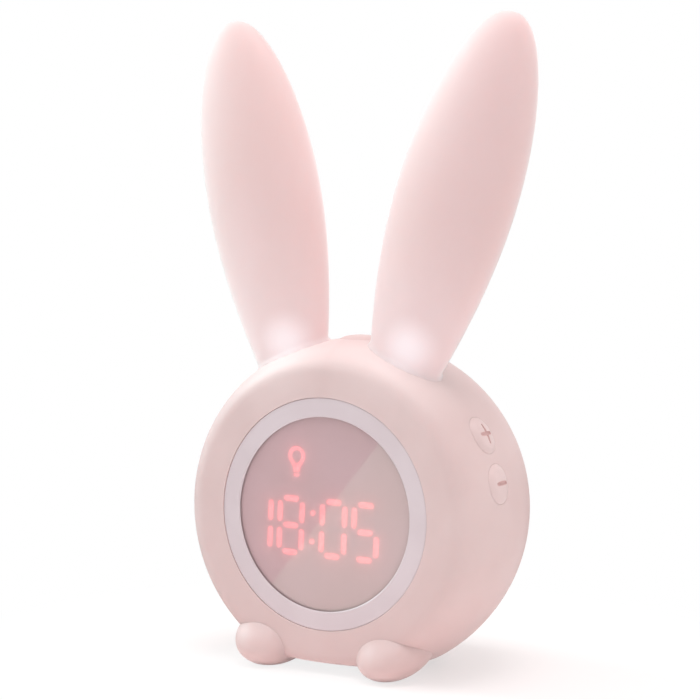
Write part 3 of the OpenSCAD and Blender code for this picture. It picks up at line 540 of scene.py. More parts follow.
# %% [markdown]
# ## Slot-shaped rings
# Keys, the holes they stand in, the marks on them and the rest pad all have the same
# outline: a rectangle with two round ends. A ring is that outline grown or shrunk by an
# offset, always with the same number of points, so rings can be joined like the hoops of
# a barrel.


# %% Rings
def slot_ring(length, width, grow, steps=72):
    """Points of a slot outline, grown outwards, or inwards where grow is negative."""
    half = max((length - width) / 2, 0)
    angle = np.linspace(0, 2 * math.pi, steps, endpoint=False) + math.pi / steps
    out = np.stack([np.cos(angle), np.sin(angle)], -1)
    centre = np.stack([np.sign(np.cos(angle)) * half, np.zeros(steps)], -1)
    return centre + out * max(width / 2 + grow, 0.0)


def lying(flat, height):
    """Flat points laid level, all at one height or each at its own."""
    return np.column_stack([flat, np.broadcast_to(height, len(flat))])


def standing(flat, y):
    """Flat points stood upright, so that they face the front, at one depth."""
    return np.column_stack([flat[:, 0], np.full(len(flat), y), flat[:, 1]])


def barrel(name, rings, finishes=()):
    """A closed object from rings of 3D points in metres, with a fan at both ends."""
    steps = len(rings[0])
    points = np.concatenate(rings)
    faces = lattice_faces(len(rings), steps)
    low, high = len(points), len(points) + 1
    points = np.vstack([points, rings[0].mean(0), rings[-1].mean(0)])
    last = (len(rings) - 1) * steps
    faces += [(low, (j + 1) % steps, j) for j in range(steps)]
    faces += [(high, last + j, last + (j + 1) % steps) for j in range(steps)]
    return make_object(name, points, faces, finishes)


KEY_TILT, KEY_FWD, KEY_OFFSET = math.radians(21.35), 6.4, 7.75
KEY_L, KEY_W, KEY_RISE, KEY_DOME_R, KEY_GAP = 12.2, 10.4, 1.3, 16.0, 0.05
KEY_TURN = Matrix.Rotation(math.pi / 2 - KEY_TILT, 3, "Y")


def key_in_row(points, mirror):
    """From the keys' own frame, z out of the body and x downwards, to the CAD frame."""
    moved = np.asarray(points) @ np.array(KEY_TURN.transposed()) + (0, -KEY_FWD, 0)
    return in_row(moved * (-1 if mirror else 1, 1, 1))


def key_skin(flat):
    """Height of the body's skin over flat points of the keys' frame."""
    return np.sqrt(body_radius(flat[:, 1] - KEY_FWD) ** 2 - flat[:, 0] ** 2)


def top_skin(flat):
    """The same for the top key, whose frame is the body's own."""
    return np.sqrt(body_radius(flat[:, 1]) ** 2 - flat[:, 0] ** 2)


# Outward steps of a hole's rounded lip: how far it opens, and how high over the skin
LIP = [(0.0, -7.0), (0.0, -0.3), (0.0, -0.07), (0.04, -0.045), (0.1, -0.025), (0.2, -0.008),
       (0.35, 0.0), (0.6, 0.1), (1.0, 0.8)]


def hole_cutter(centre, length, width, skin, place):
    """A plug that cuts a key's hole through the skin and rounds its lip."""
    rings = []
    for grow, lift in LIP:
        ring = slot_ring(length, width, KEY_GAP + grow) + centre
        rings.append(place(lying(ring, skin(ring) + lift)))
    return barrel("plug", rings)


print("a side key is", KEY_L, "by", KEY_W, "mm")

# %% [markdown]
# ## The front shell
# The front shell is a bowl with a flat face, an opening for the display, five holes for
# the keys and a flat underside. It could be modelled from a sphere, but its outline
# follows a rule, so it is turned from points on that rule: out over the face, round the
# edge, back to the seam and forward again on the inside. The underside is flattened by
# lifting low points, with a soft corner. The holes are cut with plugs whose rims flare
# out, which leaves the small rounded lip of a real moulding.

# %% Outlines of the shells
TURNS, CUT_CRISP = 320, 32.0
UNDER_SOFT, INNER_SOFT, PAST_WIDEST = 1.4, 0.8, 0.6
SEAM_DROP, SEAM_HALF = 0.22, 0.25


def front_edge(inset, steps):
    """The superelliptic edge from the flat face to the widest section."""
    angle = np.linspace(math.pi / 2, 0, steps)
    r = FACE_R + (BODY_R - FACE_R - inset) * np.cos(angle) ** (2 / FRONT_BEND)
    y = -(FRONT_DEPTH - inset) * np.sin(angle) ** (2 / FRONT_BEND)
    return np.stack([r, y], -1)


def rear_edge(inset, from_y, to_y, steps):
    """The superelliptic outline behind the widest section, between two places y."""
    y = np.linspace(from_y, to_y, steps)
    share = y / (REAR_CURVE - inset)
    return np.stack([(BODY_R - inset) * (1 - share**REAR_BEND) ** (1 / REAR_BEND), y], -1)


def flatten_under(points, inset, softness):
    """Lifts what lies below the flat underside, with a soft corner."""
    points = points.copy()
    points[:, 2] = soft_max(points[:, 2], UNDER_Z + inset, softness)
    return points


def shell(name, outer, inner):
    """A shell from an outer and an inner outline, both with their undersides flattened."""
    points = np.concatenate([flatten_under(turned(outer, TURNS), 0.0, UNDER_SOFT),
                             flatten_under(turned(inner, TURNS), WALL, INNER_SOFT)])
    faces = lattice_faces(len(outer) + len(inner), TURNS, closed_rows=True)
    return make_object(name, in_row(points), faces, [body_finish])


seam_end = [(float(rear_radius(SEAM_Y)) - SEAM_DROP, SEAM_Y)]
print("the seam's groove is", SEAM_DROP, "mm deep")

# %% Front shell
seat_r, hole_r, lip = BEZEL_R + 0.06, COLLAR_R + FIT, 0.1
corner = np.linspace(math.pi, math.pi / 2, 5)
face_lip = np.stack([seat_r + lip + lip * np.cos(corner),
                     FRONT_Y + lip - lip * np.sin(corner)], -1)
face = [(r, FRONT_Y) for r in np.linspace(seat_r + 0.6, FACE_R - 0.2, 8)]
outer_line = np.vstack([[(hole_r, BEZEL_SEAT_Y), (seat_r, BEZEL_SEAT_Y)], face_lip, face,
                        front_edge(0.0, 60), rear_edge(0.0, PAST_WIDEST, SEAM_Y - SEAM_HALF, 44),
                        seam_end])
inner_line = np.vstack([rear_edge(WALL, PAST_WIDEST, SEAM_Y, 24)[::-1],
                        front_edge(WALL, 30)[::-1], [(hole_r, FRONT_Y + WALL)]])
front_moulding = shell("front_moulding", outer_line, inner_line)
for mirror in (False, True):
    for side in (-1, 1):
        cut(front_moulding, hole_cutter((side * KEY_OFFSET, 0), KEY_L, KEY_W, key_skin,
                                        lambda points: key_in_row(points, mirror)))
TOP_KEY_R, TOP_RISE, TOP_DOME_R = 6.8, 1.0, 24.0
cut(front_moulding, hole_cutter((0, 0), 2 * TOP_KEY_R, 2 * TOP_KEY_R, top_skin, in_row))
smooth(front_moulding.data, CUT_CRISP)
seat(front_moulding, "housing", "body_plastic", "front_shell")

# %% [markdown]
# ## The keys
# Each key is a low domed pad. Its outline lies level with the skin round it, and within a
# narrow band it rises to its dome. Under the skin it has a wider rim that keeps it in the
# shell, and a stem that presses on its switch. The dome is a part of a sphere, so its
# height is known over every point of the outline and of smaller rings inside it. The plus
# and minus signs are engraved: a slot-shaped plug cuts each stroke, and gives the groove
# a darker tone, painted as its shade.

# %% Keys
RIM_Z, BOARD_H, TOP_RIM_Z, TOP_BOARD_H = 47.9, 40.02, 48.4, 34.6
STEM_R, STEM_FOOT, RIM_GROW, RIM_THICK = 2.2, 6.5, 1.0, 1.0
FINE_INSETS = [0.0, 0.03, 0.1, 0.2, 0.35, 0.5, 0.7, 0.9]
# The cap's edge over the skin, its drop at the very edge, and the bands of drop and rise
EDGE_LIFT, EDGE_DROP, DROP_BAND, RISE_BAND = 0.02, 0.06, 0.35, 2.0
STROKE_L, STROKE_W, UPRIGHT_W, STROKE_DEPTH = 6.6, 1.0, 0.7, 0.35


def dome_height(flat, dome, dome_r):
    """Height of a dome over flat points; dome is the place and the height of its centre."""
    away = (flat[:, 0] - dome[0]) ** 2 + flat[:, 1] ** 2
    return dome[1] + np.sqrt(dome_r**2 - away)


def key_rings(length, width, dome, dome_r, skin, rim_z, board_z, place):
    """Rings of a whole key, from the foot of its stem to the middle of its dome."""
    stem, rim = slot_ring(2 * STEM_R, 2 * STEM_R, 0), slot_ring(length, width, RIM_GROW)
    rings = [lying(stem, board_z + STEM_FOOT), lying(stem, rim_z - 0.2), lying(stem, rim_z),
             lying(rim, rim_z), lying(rim, rim_z + RIM_THICK),
             lying(slot_ring(length, width, 0.0), rim_z + RIM_THICK)]
    insets = FINE_INSETS + list(np.linspace(1.2, width / 2 - 0.4, 14))
    for inset in insets:
        flat = slot_ring(length, width, -inset)
        low = skin(flat) + EDGE_LIFT - EDGE_DROP * max(1 - inset / DROP_BAND, 0) ** 2
        share = 1 - max(1 - inset / RISE_BAND, 0) ** 2
        rings.append(lying(flat, low + (dome_height(flat, dome, dome_r) - low) * share))
    flat = slot_ring(length, width, -insets[-1]) * 0.4
    rings.append(lying(flat, dome_height(flat, dome, dome_r)))
    return [place(ring) for ring in rings]


def side_dome(side):
    """The centre of a side key's dome, and how far the key swings round the body."""
    radius = float(front_radius(-KEY_FWD))
    swing = math.asin(side * KEY_OFFSET / radius)
    reach = radius + KEY_RISE - KEY_DOME_R
    return (math.sin(swing) * reach - side * KEY_OFFSET, math.cos(swing) * reach), swing


def side_key(name, side, mirror):
    """A side key: side -1 is the upper one and 1 the lower."""
    rings = key_rings(KEY_L, KEY_W, side_dome(side)[0], KEY_DOME_R,
                      lambda flat: key_skin(flat + (side * KEY_OFFSET, 0)), RIM_Z, BOARD_H,
                      lambda ring: key_in_row(ring + (side * KEY_OFFSET, 0, 0), mirror))
    return barrel(name, rings, [key_finish])


def stroke_cutter(side, upright):
    """A plug for one engraved stroke of a sign, which follows the dome; it paints the groove dark
    as shade.
    """
    dome, swing = side_dome(side)
    rings = []
    for grow, lift in ((-0.1, -STROKE_DEPTH), (0.0, -STROKE_DEPTH + 0.1), (0.0, -0.08),
                       (0.06, 0.0), (0.3, 0.5)):
        flat = slot_ring(STROKE_L, UPRIGHT_W if upright else STROKE_W, grow, 48)
        if not upright:
            flat = flat[:, ::-1] * (1, -1)
        flat = flat + (dome[0] + math.sin(swing) * KEY_DOME_R, 0)
        height = dome_height(flat, dome, KEY_DOME_R) + lift
        rings.append(key_in_row(lying(flat + (side * KEY_OFFSET, 0), height), False))
    return barrel("stroke", rings, [groove_shade_finish])


# Each side key's side, whether it is mirrored, and its strokes, of which True is upright
SIDE_KEYS = {"plus": (-1, False, (False, True)), "minus": (1, False, (False,)),
             "mode": (-1, True, ()), "alarm": (1, True, ())}
keys = {}
for word, (side, mirror, strokes) in SIDE_KEYS.items():
    keys[word] = side_key(word + "_key_cap", side, mirror)
    cut(keys[word], *[stroke_cutter(side, upright) for upright in strokes])
top_dome = (0.0, BODY_R + TOP_RISE - TOP_DOME_R)
keys["top"] = barrel("top_key_cap", key_rings(2 * TOP_KEY_R, 2 * TOP_KEY_R, top_dome, TOP_DOME_R,
                                              top_skin, TOP_RIM_Z, TOP_BOARD_H, in_row),
                     [key_finish])
for word, key in keys.items():
    smooth(key.data, CUT_CRISP)
    seat(key, word + "_key", "body_plastic", word + "_button")

# %% [markdown]
# ## The rear cover
# The rear cover is the domed back with a flat end. It carries the loudspeaker's grille,
# four deep wells with screws, and the mouth of the charging socket. Its dome is turned
# from the same rule as the front, and each well is a tube that ends inside the dome. The
# grille repeats, so a Geometry Nodes tree makes its pins: a field of points in equilateral
# triangles, trimmed to a circle, with one pin on each. The pins are then cut out of the
# dome as one object.

# %% Grille tree
SPEAKER_H, GRILLE_R, GRILLE_PITCH, GRILLE_HOLE_R = 4.0, 12.5, 3.2, 0.9
PIN_SIDES, PIN_LENGTH = 20, 12.0


def new_tree(name, **sizes):
    """A Geometry Nodes tree with named inputs, and the wires of its inputs."""
    tree = bpy.data.node_groups.new(name, "GeometryNodeTree")
    tree.interface.new_socket("Geometry", in_out="INPUT", socket_type="NodeSocketGeometry")
    for label, value in sizes.items():
        kind = "NodeSocketInt" if isinstance(value, int) else "NodeSocketFloat"
        if isinstance(value, bpy.types.Material):
            kind = "NodeSocketMaterial"
        if isinstance(value, bpy.types.Object):
            kind = "NodeSocketObject"
        tree.interface.new_socket(label, in_out="INPUT", socket_type=kind)
    tree.interface.new_socket("Geometry", in_out="OUTPUT", socket_type="NodeSocketGeometry")
    graph = Graph(tree)
    group_in = graph.node("NodeGroupInput").socket.node
    return graph, {s.name: Wire(graph, s) for s in group_in.outputs if s.name}


def end_tree(graph, geometry, material):
    """Ends a tree in plain geometry with its material."""
    plain = graph.node("GeometryNodeRealizeInstances", None, {"Geometry": geometry})
    painted = graph.node("GeometryNodeSetMaterial", None, {"Geometry": plain, "Material": material})
    graph.node("NodeGroupOutput", None, {"Geometry": painted})


def grown(name, graph, **sizes):
    """Runs a tree on an empty object and keeps the result as its own plain mesh."""
    mesh = bpy.data.meshes.new(name)
    made = bpy.data.objects.new(name, mesh)
    scene.collection.objects.link(made)
    tool = made.modifiers.new("grow", "NODES")
    tool.node_group = graph.tree
    for item in graph.tree.interface.items_tree:
        if item.in_out == "INPUT" and item.name in sizes:
            tool[item.identifier] = sizes[item.name]
    return bake(made)


pin_sizes = dict(rings=8, pitch=GRILLE_PITCH * MM, reach=GRILLE_R * MM, sides=PIN_SIDES,
                 pin_radius=GRILLE_HOLE_R * MM, length=PIN_LENGTH * MM,
                 finish=body_finish.material)
graph, given = new_tree("grille_pins", **pin_sizes)
per_row = given["rings"] * 2 + 1
size = given["pitch"] * (per_row - 1)
field = graph.node("GeometryNodeMeshGrid", None, {
    "Size X": size, "Size Y": size, "Vertices X": per_row, "Vertices Y": per_row})
spot = graph.split(graph.node("GeometryNodeInputPosition"))
slant = graph.join(spot["X"] + spot["Y"] * 0.5, 0.0, spot["Y"] * (math.sqrt(3) / 2))
field = graph.node("GeometryNodeSetPosition", None, {"Geometry": field, "Position": slant})
away = graph.vector("LENGTH", graph.node("GeometryNodeInputPosition"))["Value"]
outside = graph.node("FunctionNodeCompare", {"operation": "GREATER_THAN"},
                     {"A": away, "B": given["reach"] + 1e-6})
field = graph.node("GeometryNodeDeleteGeometry", None, {"Geometry": field, "Selection": outside})
pin = graph.node("GeometryNodeMeshCylinder", None, {
    "Vertices": given["sides"], "Radius": given["pin_radius"], "Depth": given["length"]})
pins = graph.node("GeometryNodeInstanceOnPoints", None, {
    "Points": field, "Instance": pin, "Rotation": (math.pi / 2, 0, 0)})
end_tree(graph, pins, given["finish"])
grille_pins = grown("grille_pins", graph, **pin_sizes)
grille_pins.data.transform(Matrix.Translation(in_row((0, REAR_DEPTH, SPEAKER_H))))
print("grille pins:", len(grille_pins.data.polygons) // (PIN_SIDES + 2))

# %% Rear cover
END_SHARE, END_SOFT, INNER_FLAT_R = 0.965, 1.6, 26.0
dome_line = rear_edge(0.0, SEAM_Y + SEAM_HALF, REAR_CURVE * END_SHARE, 60)
dome_line[:, 1] = -soft_max(-dome_line[:, 1], -REAR_DEPTH, END_SOFT)
flat_end = [(r, REAR_DEPTH) for r in np.linspace(dome_line[-1, 0] - 1, 0, 10)]
inner_end = [(0, REAR_DEPTH - WALL), (INNER_FLAT_R, REAR_DEPTH - WALL)]
inner_dome = rear_edge(WALL, SEAM_Y, REAR_DEPTH - WALL, 24)[::-1]
rear_moulding = shell("rear_moulding", np.vstack([seam_end, dome_line, flat_end]),
                      np.vstack([inner_end, inner_dome]))
print("rear moulding before its cuts:", len(rear_moulding.data.polygons))
cut(rear_moulding, grille_pins)

# %% Screw wells and mouth
SCREW_RING, WELL_R, WELL_FLOOR_Y = 38.505, 3.4, SEAM_Y + 2.5
WELL_WALL, WELL_BASE, BEHIND_Y = 1.2, 1.5, 50.0
USB_H, USB_L, USB_W, USB_ROOM = -22.5, 8.94, 3.26, 0.9


def well_rod(angle, radius, floor_y):
    """A round rod along a screw's axis, from a floor to well behind the clock."""
    swing = math.radians(angle)
    ring = slot_ring(2 * radius, 2 * radius, 0, 40)
    ring = ring + (SCREW_RING * math.cos(swing), -SCREW_RING * math.sin(swing))
    return barrel("rod", [in_row(standing(ring, y)) for y in (floor_y, BEHIND_Y)], [body_finish])


plug_line = np.vstack([[(0, SEAM_Y)], rear_edge(WALL / 2, SEAM_Y, REAR_DEPTH - WALL / 2, 40),
                       [(0, REAR_DEPTH - WALL / 2)]])
for angle in range(0, 360, 90):
    tube = well_rod(angle, WELL_R + WELL_WALL, WELL_FLOOR_Y - WELL_BASE)
    inner_form = turned_object("inner_form", plug_line, TURNS, [body_finish])
    cut(tube, inner_form, operation="INTERSECT")
    cut(rear_moulding, tube, operation="UNION")
    cut(rear_moulding, well_rod(angle, WELL_R, WELL_FLOOR_Y))
rings = []
for grow, y in ((0.0, 40.0), (0.0, REAR_DEPTH - 0.4), (0.1, REAR_DEPTH - 0.15), (0.35, REAR_DEPTH),
                (0.8, REAR_DEPTH + 0.6)):
    ring = slot_ring(USB_L + USB_ROOM, USB_W + USB_ROOM, grow) + (0, USB_H)
    rings.append(in_row(standing(ring, y)))
cut(rear_moulding, barrel("mouth", rings))
smooth(rear_moulding.data, CUT_CRISP)
seat(rear_moulding, "housing", "body_plastic", "rear_cover")

# %% [markdown]
# ## The feet
# A foot is an egg, wider than high, that rises a little towards the back and the outside.
# It is a sphere stretched along its three axes, flattened where it stands, and the form of
# the body is cut out of it, so it seats closely.

# %% Feet
# The egg is a hair smaller than the CAD foot, so that it stays inside its box
FOOT_HALF, HAIR = (11.6, 16.0, 8.3), 0.005
FOOT_X, FOOT_FWD, FOOT_FLAT, FOOT_SOFT = 21.8, 29.0, 0.4, 0.4
FOOT_PITCH, FOOT_ROLL = math.radians(13.0), math.radians(9.5)
FOOT_ROWS, FOOT_STEPS = 72, 120


def body_plug():
    """The solid form of the body, to cut its shape out of what seats on it."""
    line = np.vstack([[(0, FRONT_Y)], front_edge(0.0, 60),
                      rear_edge(0.0, PAST_WIDEST, SEAM_Y, 40), [(0, SEAM_Y)]])
    points = flatten_under(turned(line, TURNS), 0.0, UNDER_SOFT)
    return make_object("body_plug", in_row(points), lattice_faces(len(line), TURNS))


foot_turn = Matrix.Rotation(-FOOT_ROLL, 3, "Y") @ Matrix.Rotation(FOOT_PITCH, 3, "X")
arc = np.linspace(-math.pi / 2, math.pi / 2, FOOT_ROWS)
egg = turned(np.stack([np.cos(arc), np.sin(arc)], -1), FOOT_STEPS) * (np.array(FOOT_HALF) - HAIR)
egg = egg @ np.array(foot_turn.transposed())
egg += np.array((FOOT_X, -FOOT_FWD, -FOOT_FLAT - AXIS_H)) - (0, egg[:, 1].min(), egg[:, 2].min())
egg[:, 2] = soft_max(egg[:, 2], -AXIS_H, FOOT_SOFT)
egg_faces = lattice_faces(FOOT_ROWS, FOOT_STEPS)
for word, sign in (("right", 1), ("left", -1)):
    foot = make_object(word + "_foot_cap", in_row(egg * (sign, 1, 1)), egg_faces, [body_finish])
    cut(foot, body_plug())
    smooth(foot.data, CUT_CRISP)
    seat(foot, "housing", "body_plastic", "foot_" + word)

# %% [markdown]
# ## The ears
# An ear is a flattened, hollow horn whose half width follows a law along its length: slim
# at the root, widest past the middle and round at the tip. A Geometry Nodes tree bends a
# flat grid into it: one side of the grid runs round the ear and the other along it. Where
# the ear meets the body, its wall flares out in a small fillet, and the form of the body is
# cut out of it. The left ear is the right one mirrored.

# %% Ear tree
SWELL_TURN, EAR_CRISP = math.radians(92), 60.0
ear_sizes = dict(sides=112, rings=190, length=EAR_LEN - 0.02, half_width=20.08, flatness=0.6,
                 bow=0.4, peak=0.585, root_share=0.26, tip_power=0.44, start=4 / EAR_LEN,
                 finish=ear_finish.material)
graph, given = new_tree("ear", **ear_sizes)
sheet = graph.node("GeometryNodeMeshGrid", None, {
    "Size X": 1.0, "Size Y": 1.0, "Vertices X": given["sides"] + 1,
    "Vertices Y": given["rings"] + 1})
spot = graph.split(graph.node("GeometryNodeInputPosition"))
angle = spot["X"] * (2 * math.pi)
step = spot["Y"] + 0.5
wave = 0.5 - (step * math.pi).math("COSINE") * 0.5
t = given["start"] + wave * (1 - given["start"])
rest = (1 - t).math("MAXIMUM", 0.0)
law = given["root_share"] + (1 - given["root_share"]) * (t * SWELL_TURN).math("SINE")
half = given["half_width"] / given["peak"] * rest ** given["tip_power"] * law
half = half * (step * given["rings"]).math("MINIMUM", 1.0)
x = half * angle.math("COSINE") - given["bow"] * 4 * t * (1 - t)
y = half * given["flatness"] * angle.math("SINE")
place = graph.join(x, y, t * given["length"])
horn = graph.node("GeometryNodeSetPosition", None, {"Geometry": sheet, "Position": place})
horn = graph.node("GeometryNodeMergeByDistance", None, {"Geometry": horn, "Distance": 0.0005})
end_tree(graph, horn, given["finish"])
horn = grown("horn", graph, **ear_sizes)
print("ear points:", len(horn.data.vertices))

# %% Ears
FILLET, FILLET_LOW, SLOPE_STEP = 1.6, 0.12, 0.05


def body_height(points):
    """Height over the body's skin, and the direction straight out of it."""
    x, y, z = points.T
    radius = np.hypot(x, z)
    fall = (body_radius(y + SLOPE_STEP) - body_radius(y - SLOPE_STEP)) / (2 * SLOPE_STEP)
    out = np.stack([x / radius, -fall, z / radius], -1)
    size = np.linalg.norm(out, axis=1)
    return (radius - body_radius(y)) / size, out / size[:, None]


def flared(points, middle_line):
    """Flares the wall out into a fillet near the body."""
    height, out = body_height(points)
    away = points - middle_line
    away -= out * (away * out).sum(1)[:, None]
    size = np.linalg.norm(away, axis=1)
    away /= np.maximum(size, 1e-6)[:, None]
    near = np.clip(height, FILLET_LOW, FILLET)
    push = FILLET - np.sqrt(np.maximum(FILLET**2 - (FILLET - near) ** 2, 0))
    return points + away * (push * np.minimum(size, 1))[:, None]


straight = np.array([v.co for v in horn.data.vertices])
ear_turn = np.array(EAR_TURN.transposed())
wall = flared(straight @ ear_turn + EAR_ROOT, straight * (0, 0, 1) @ ear_turn + EAR_ROOT)
horn_faces = [tuple(p.vertices) for p in horn.data.polygons]
for word, sign in (("right", 1), ("left", -1)):
    ear = make_object(word + "_ear_sleeve", in_row(wall * (sign, 1, 1)), horn_faces, [ear_finish])
    cut(ear, body_plug())
    smooth(ear.data, EAR_CRISP)
    seat(ear, "housing", "ear_silicone", "ear_" + word)
bpy.data.objects.remove(horn)

# %% [markdown]
# ## Bezel and window
# The bezel is a flat satin ring with a collar behind it. Its inner edge is cut at a slant,
# which catches the light below, and the wall under it is painted dark as shade. The window
# is a tinted plate, a little sunk and polished.

# %% Bezel
RING_Y, EDGE_R = FRONT_Y + 0.2, 0.3
# The slant at the inner edge: how far out, and how far below the ring's face
SLANT = [(0.0, 0.34), (0.36, 0.04), (0.44, 0.0), (1.4, 0.0)]
bezel_line = [(VIEW_R, WINDOW_Y)] + [(VIEW_R + out, RING_Y + down) for out, down in SLANT]
bezel_line += [(BEZEL_R - 1.4, RING_Y), (BEZEL_R - EDGE_R, RING_Y)]
bezel_line += [(BEZEL_R - EDGE_R + EDGE_R * math.sin(a), RING_Y + EDGE_R - EDGE_R * math.cos(a))
               for a in np.linspace(0.2, math.pi / 2, 6)]
bezel_line += [(BEZEL_R, BEZEL_SEAT_Y), (COLLAR_R, BEZEL_SEAT_Y), (COLLAR_R, COLLAR_BACK_Y),
               (WINDOW_R + FIT, COLLAR_BACK_Y), (WINDOW_R + FIT, WINDOW_Y)]
bezel = turned_object("satin_bezel", bezel_line, TURNS, [bezel_finish, painted_wall_shade], 24.0, True)
# The wall round the view and the lip over the window's rim are painted dark as shade
TOUCH = 0.01
for part in bezel.data.polygons:
    radius = math.hypot(part.center.x, part.center.z - AXIS_H * MM) / MM
    under_lip = part.center.y / MM - BODY_Y > WINDOW_Y - TOUCH and radius < WINDOW_R + FIT + TOUCH
    part.material_index = int(radius < VIEW_R + TOUCH or under_lip)
seat(bezel, "housing", "bezel_satin", "bezel_ring")

# %% Window
GLASS_Y = WINDOW_Y + 0.55
window_line = [(0, GLASS_Y), (WINDOW_R, GLASS_Y), (WINDOW_R, BOX_Y), (0, BOX_Y)]
window_finish = Finish("tinted_window", Roughness=0.01, Specular_IOR_Level=1.0, Alpha=0.75,
                       Specular_Tint=(0.5, 1.0, 0.7, 1))
window_finish.set(Base_Color=window_finish.drift(window_finish.noise(26.0, 1.0),
                                                 tone(237, 201, 205), tone(235, 199, 202)))
window = turned_object("window_plate", window_line, 160, [window_finish], 40.0)
seat(window, "housing", "tinted_window", "display_window")

# %% [markdown]
# ## The light box
# Behind the window lies a disc with a pocket for each light piece, whose light spreads a
# little in the disc. Its front is a fine net of points. The pockets are cut with copies of
# the CAD model's own light pieces, and then each point stores how near the lit pieces are:
# the finish reads that as a soft halo.

# %% Light box
NET, POCKET_SHIFT = 190, 0.02
# A bright rim close to the light pieces and a faint wide one: strengths and reaches
HALOS = [(0.3, 0.35), (0.2, 2.5)]
LIT_NODES = ("digit_segments", "bulb_sign")
u, v = np.meshgrid(np.linspace(-1, 1, NET), np.linspace(-1, 1, NET))
net = np.stack([u * np.sqrt(1 - v * v / 2), v * np.sqrt(1 - u * u / 2)], -1).reshape(-1, 2)
front = standing(net * WINDOW_R, BOX_Y)
rim = (list(range(NET)) + [i * NET + NET - 1 for i in range(1, NET)]
       + [NET * NET - 1 - i for i in range(1, NET)] + [i * NET for i in range(NET - 2, 0, -1)])
behind = front[rim] + (0, BOX_DEPTH, 0)
first = len(front)
skirt = [(rim[i], rim[(i + 1) % len(rim)], first + (i + 1) % len(rim), first + i)
         for i in range(len(rim))]
box_faces = (lattice_faces(NET, NET, closed_columns=False) + skirt
             + [tuple(range(first, first + len(rim)))])
mask_finish = mottled("light_mask", (9.0, 1.0), tone(222, 188, 192), tone(218, 186, 190),
                      Roughness=0.6, Specular_IOR_Level=0.3, Emission_Strength=1.0)
spread = mask_finish.node("ShaderNodeAttribute", {"attribute_name": "halo"})["Fac"]
mask_finish.set(Emission_Color=mask_finish.mix(spread, DARK, (1.0, 0.12, 0.12, 1)))
light_mask = make_object("light_mask", in_row(np.vstack([front, behind])), box_faces,
                         [mask_finish], 40.0)
for name in ("digit_segments", "unlit_segments", "bulb_sign"):
    pocket = bpy.data.objects.new("pocket", NODES[name].data.copy())
    scene.collection.objects.link(pocket)
    pocket.data.transform(Matrix.Translation((0, -POCKET_SHIFT * MM, 0)))
    cut(light_mask, pocket)
light_mask.data.materials.clear()
light_mask.data.materials.append(mask_finish.material)
print("light box with its pockets:", len(light_mask.data.polygons), "faces")

# %% Halo
lit_trees = [BVHTree.FromPolygons([v.co for v in NODES[n].data.vertices],
                                  [tuple(p.vertices) for p in NODES[n].data.polygons])
             for n in LIT_NODES]
halo = light_mask.data.attributes.new("halo", "FLOAT", "POINT")
for index, vertex in enumerate(light_mask.data.vertices):
    near = min(tree.find_nearest(vertex.co)[3] for tree in lit_trees) / MM
    halo.data[index].value = sum(bright * math.exp(-near / reach) for bright, reach in HALOS)
seat(light_mask, "housing", "black_plastic", "light_box")

# %% [markdown]
# ## Rear screws and rest pad
# Four equal screws hold the rear cover. One is modelled, with a domed head and a crossed
# recess, and a Geometry Nodes tree sets a copy of it in each well. The rest pad is a soft
# strip of rubber with rounded edges, on which the rear of the clock stands.

# %% Rear screws
steel_finish = mottled("steel", (0.6, 3.0, (1, 0.2, 1)), (0.52, 0.52, 0.54, 1),
                       (0.64, 0.64, 0.66, 1), Metallic=1.0, Specular_IOR_Level=0.5)
steel_finish.set(Roughness=0.24 + steel_finish.patches * 0.16)
steel_finish.bump(steel_finish.patches, 0.004)

THREAD_R, THREAD_DEPTH, THREAD_PITCH, SCREW_L, SCREW_CRISP = 1.25, 0.22, 0.35, 11.0, 30.0
head = [(0.0, -1.6), (1.2, -1.56), (2.1, -1.35), (2.6, -1.0), (2.8, -0.6), (2.8, 0.0),
        (THREAD_R, 0.0)]
thread = [(THREAD_R - THREAD_DEPTH * (i % 2), 0.2 + i * THREAD_PITCH) for i in range(30)]
screw_line = [(r, -y) for r, y in head + thread + [(0.0, SCREW_L)]]
screw = make_object("screw", turned(screw_line, 40) * MM, lattice_faces(len(screw_line), 40),
                    [steel_finish], SCREW_CRISP)
for spin in (0, math.pi / 2):
    rings = []
    for half_l, half_w, y in ((1.0, 0.22, 0.75), (1.7, 0.36, 1.9)):
        corners = np.array([(-1, -1), (1, -1), (1, 1), (-1, 1)]) * (half_l, half_w)
        c, s = math.cos(spin), math.sin(spin)
        rings.append(standing(corners @ np.array(((c, s), (-s, c))), y) * MM)
    cut(screw, barrel("recess", rings, [steel_finish]))
smooth(screw.data, SCREW_CRISP)

screw_sizes = dict(count=4, ring_radius=SCREW_RING * MM, screw=screw, finish=steel_finish.material)
graph, given = new_tree("screw_ring", **screw_sizes)
ring = graph.node("GeometryNodeMeshCircle", None, {"Vertices": given["count"],
                                                    "Radius": given["ring_radius"]})
ring = graph.node("GeometryNodeTransform", None, {"Geometry": ring,
                                                  "Rotation": (math.pi / 2, 0, 0)})
copy = graph.node("GeometryNodeObjectInfo", None, {"Object": given["screw"]})["Geometry"]
screws = graph.node("GeometryNodeInstanceOnPoints", None, {"Points": ring, "Instance": copy})
end_tree(graph, screws, given["finish"])
rear_screw_set = grown("rear_screw_set", graph, **screw_sizes)
rear_screw_set.data.transform(Matrix.Translation(in_row((0, WELL_FLOOR_Y, 0))))
smooth(rear_screw_set.data, SCREW_CRISP)
bpy.data.objects.remove(screw)
seat(rear_screw_set, "housing", "steel", "rear_screws")

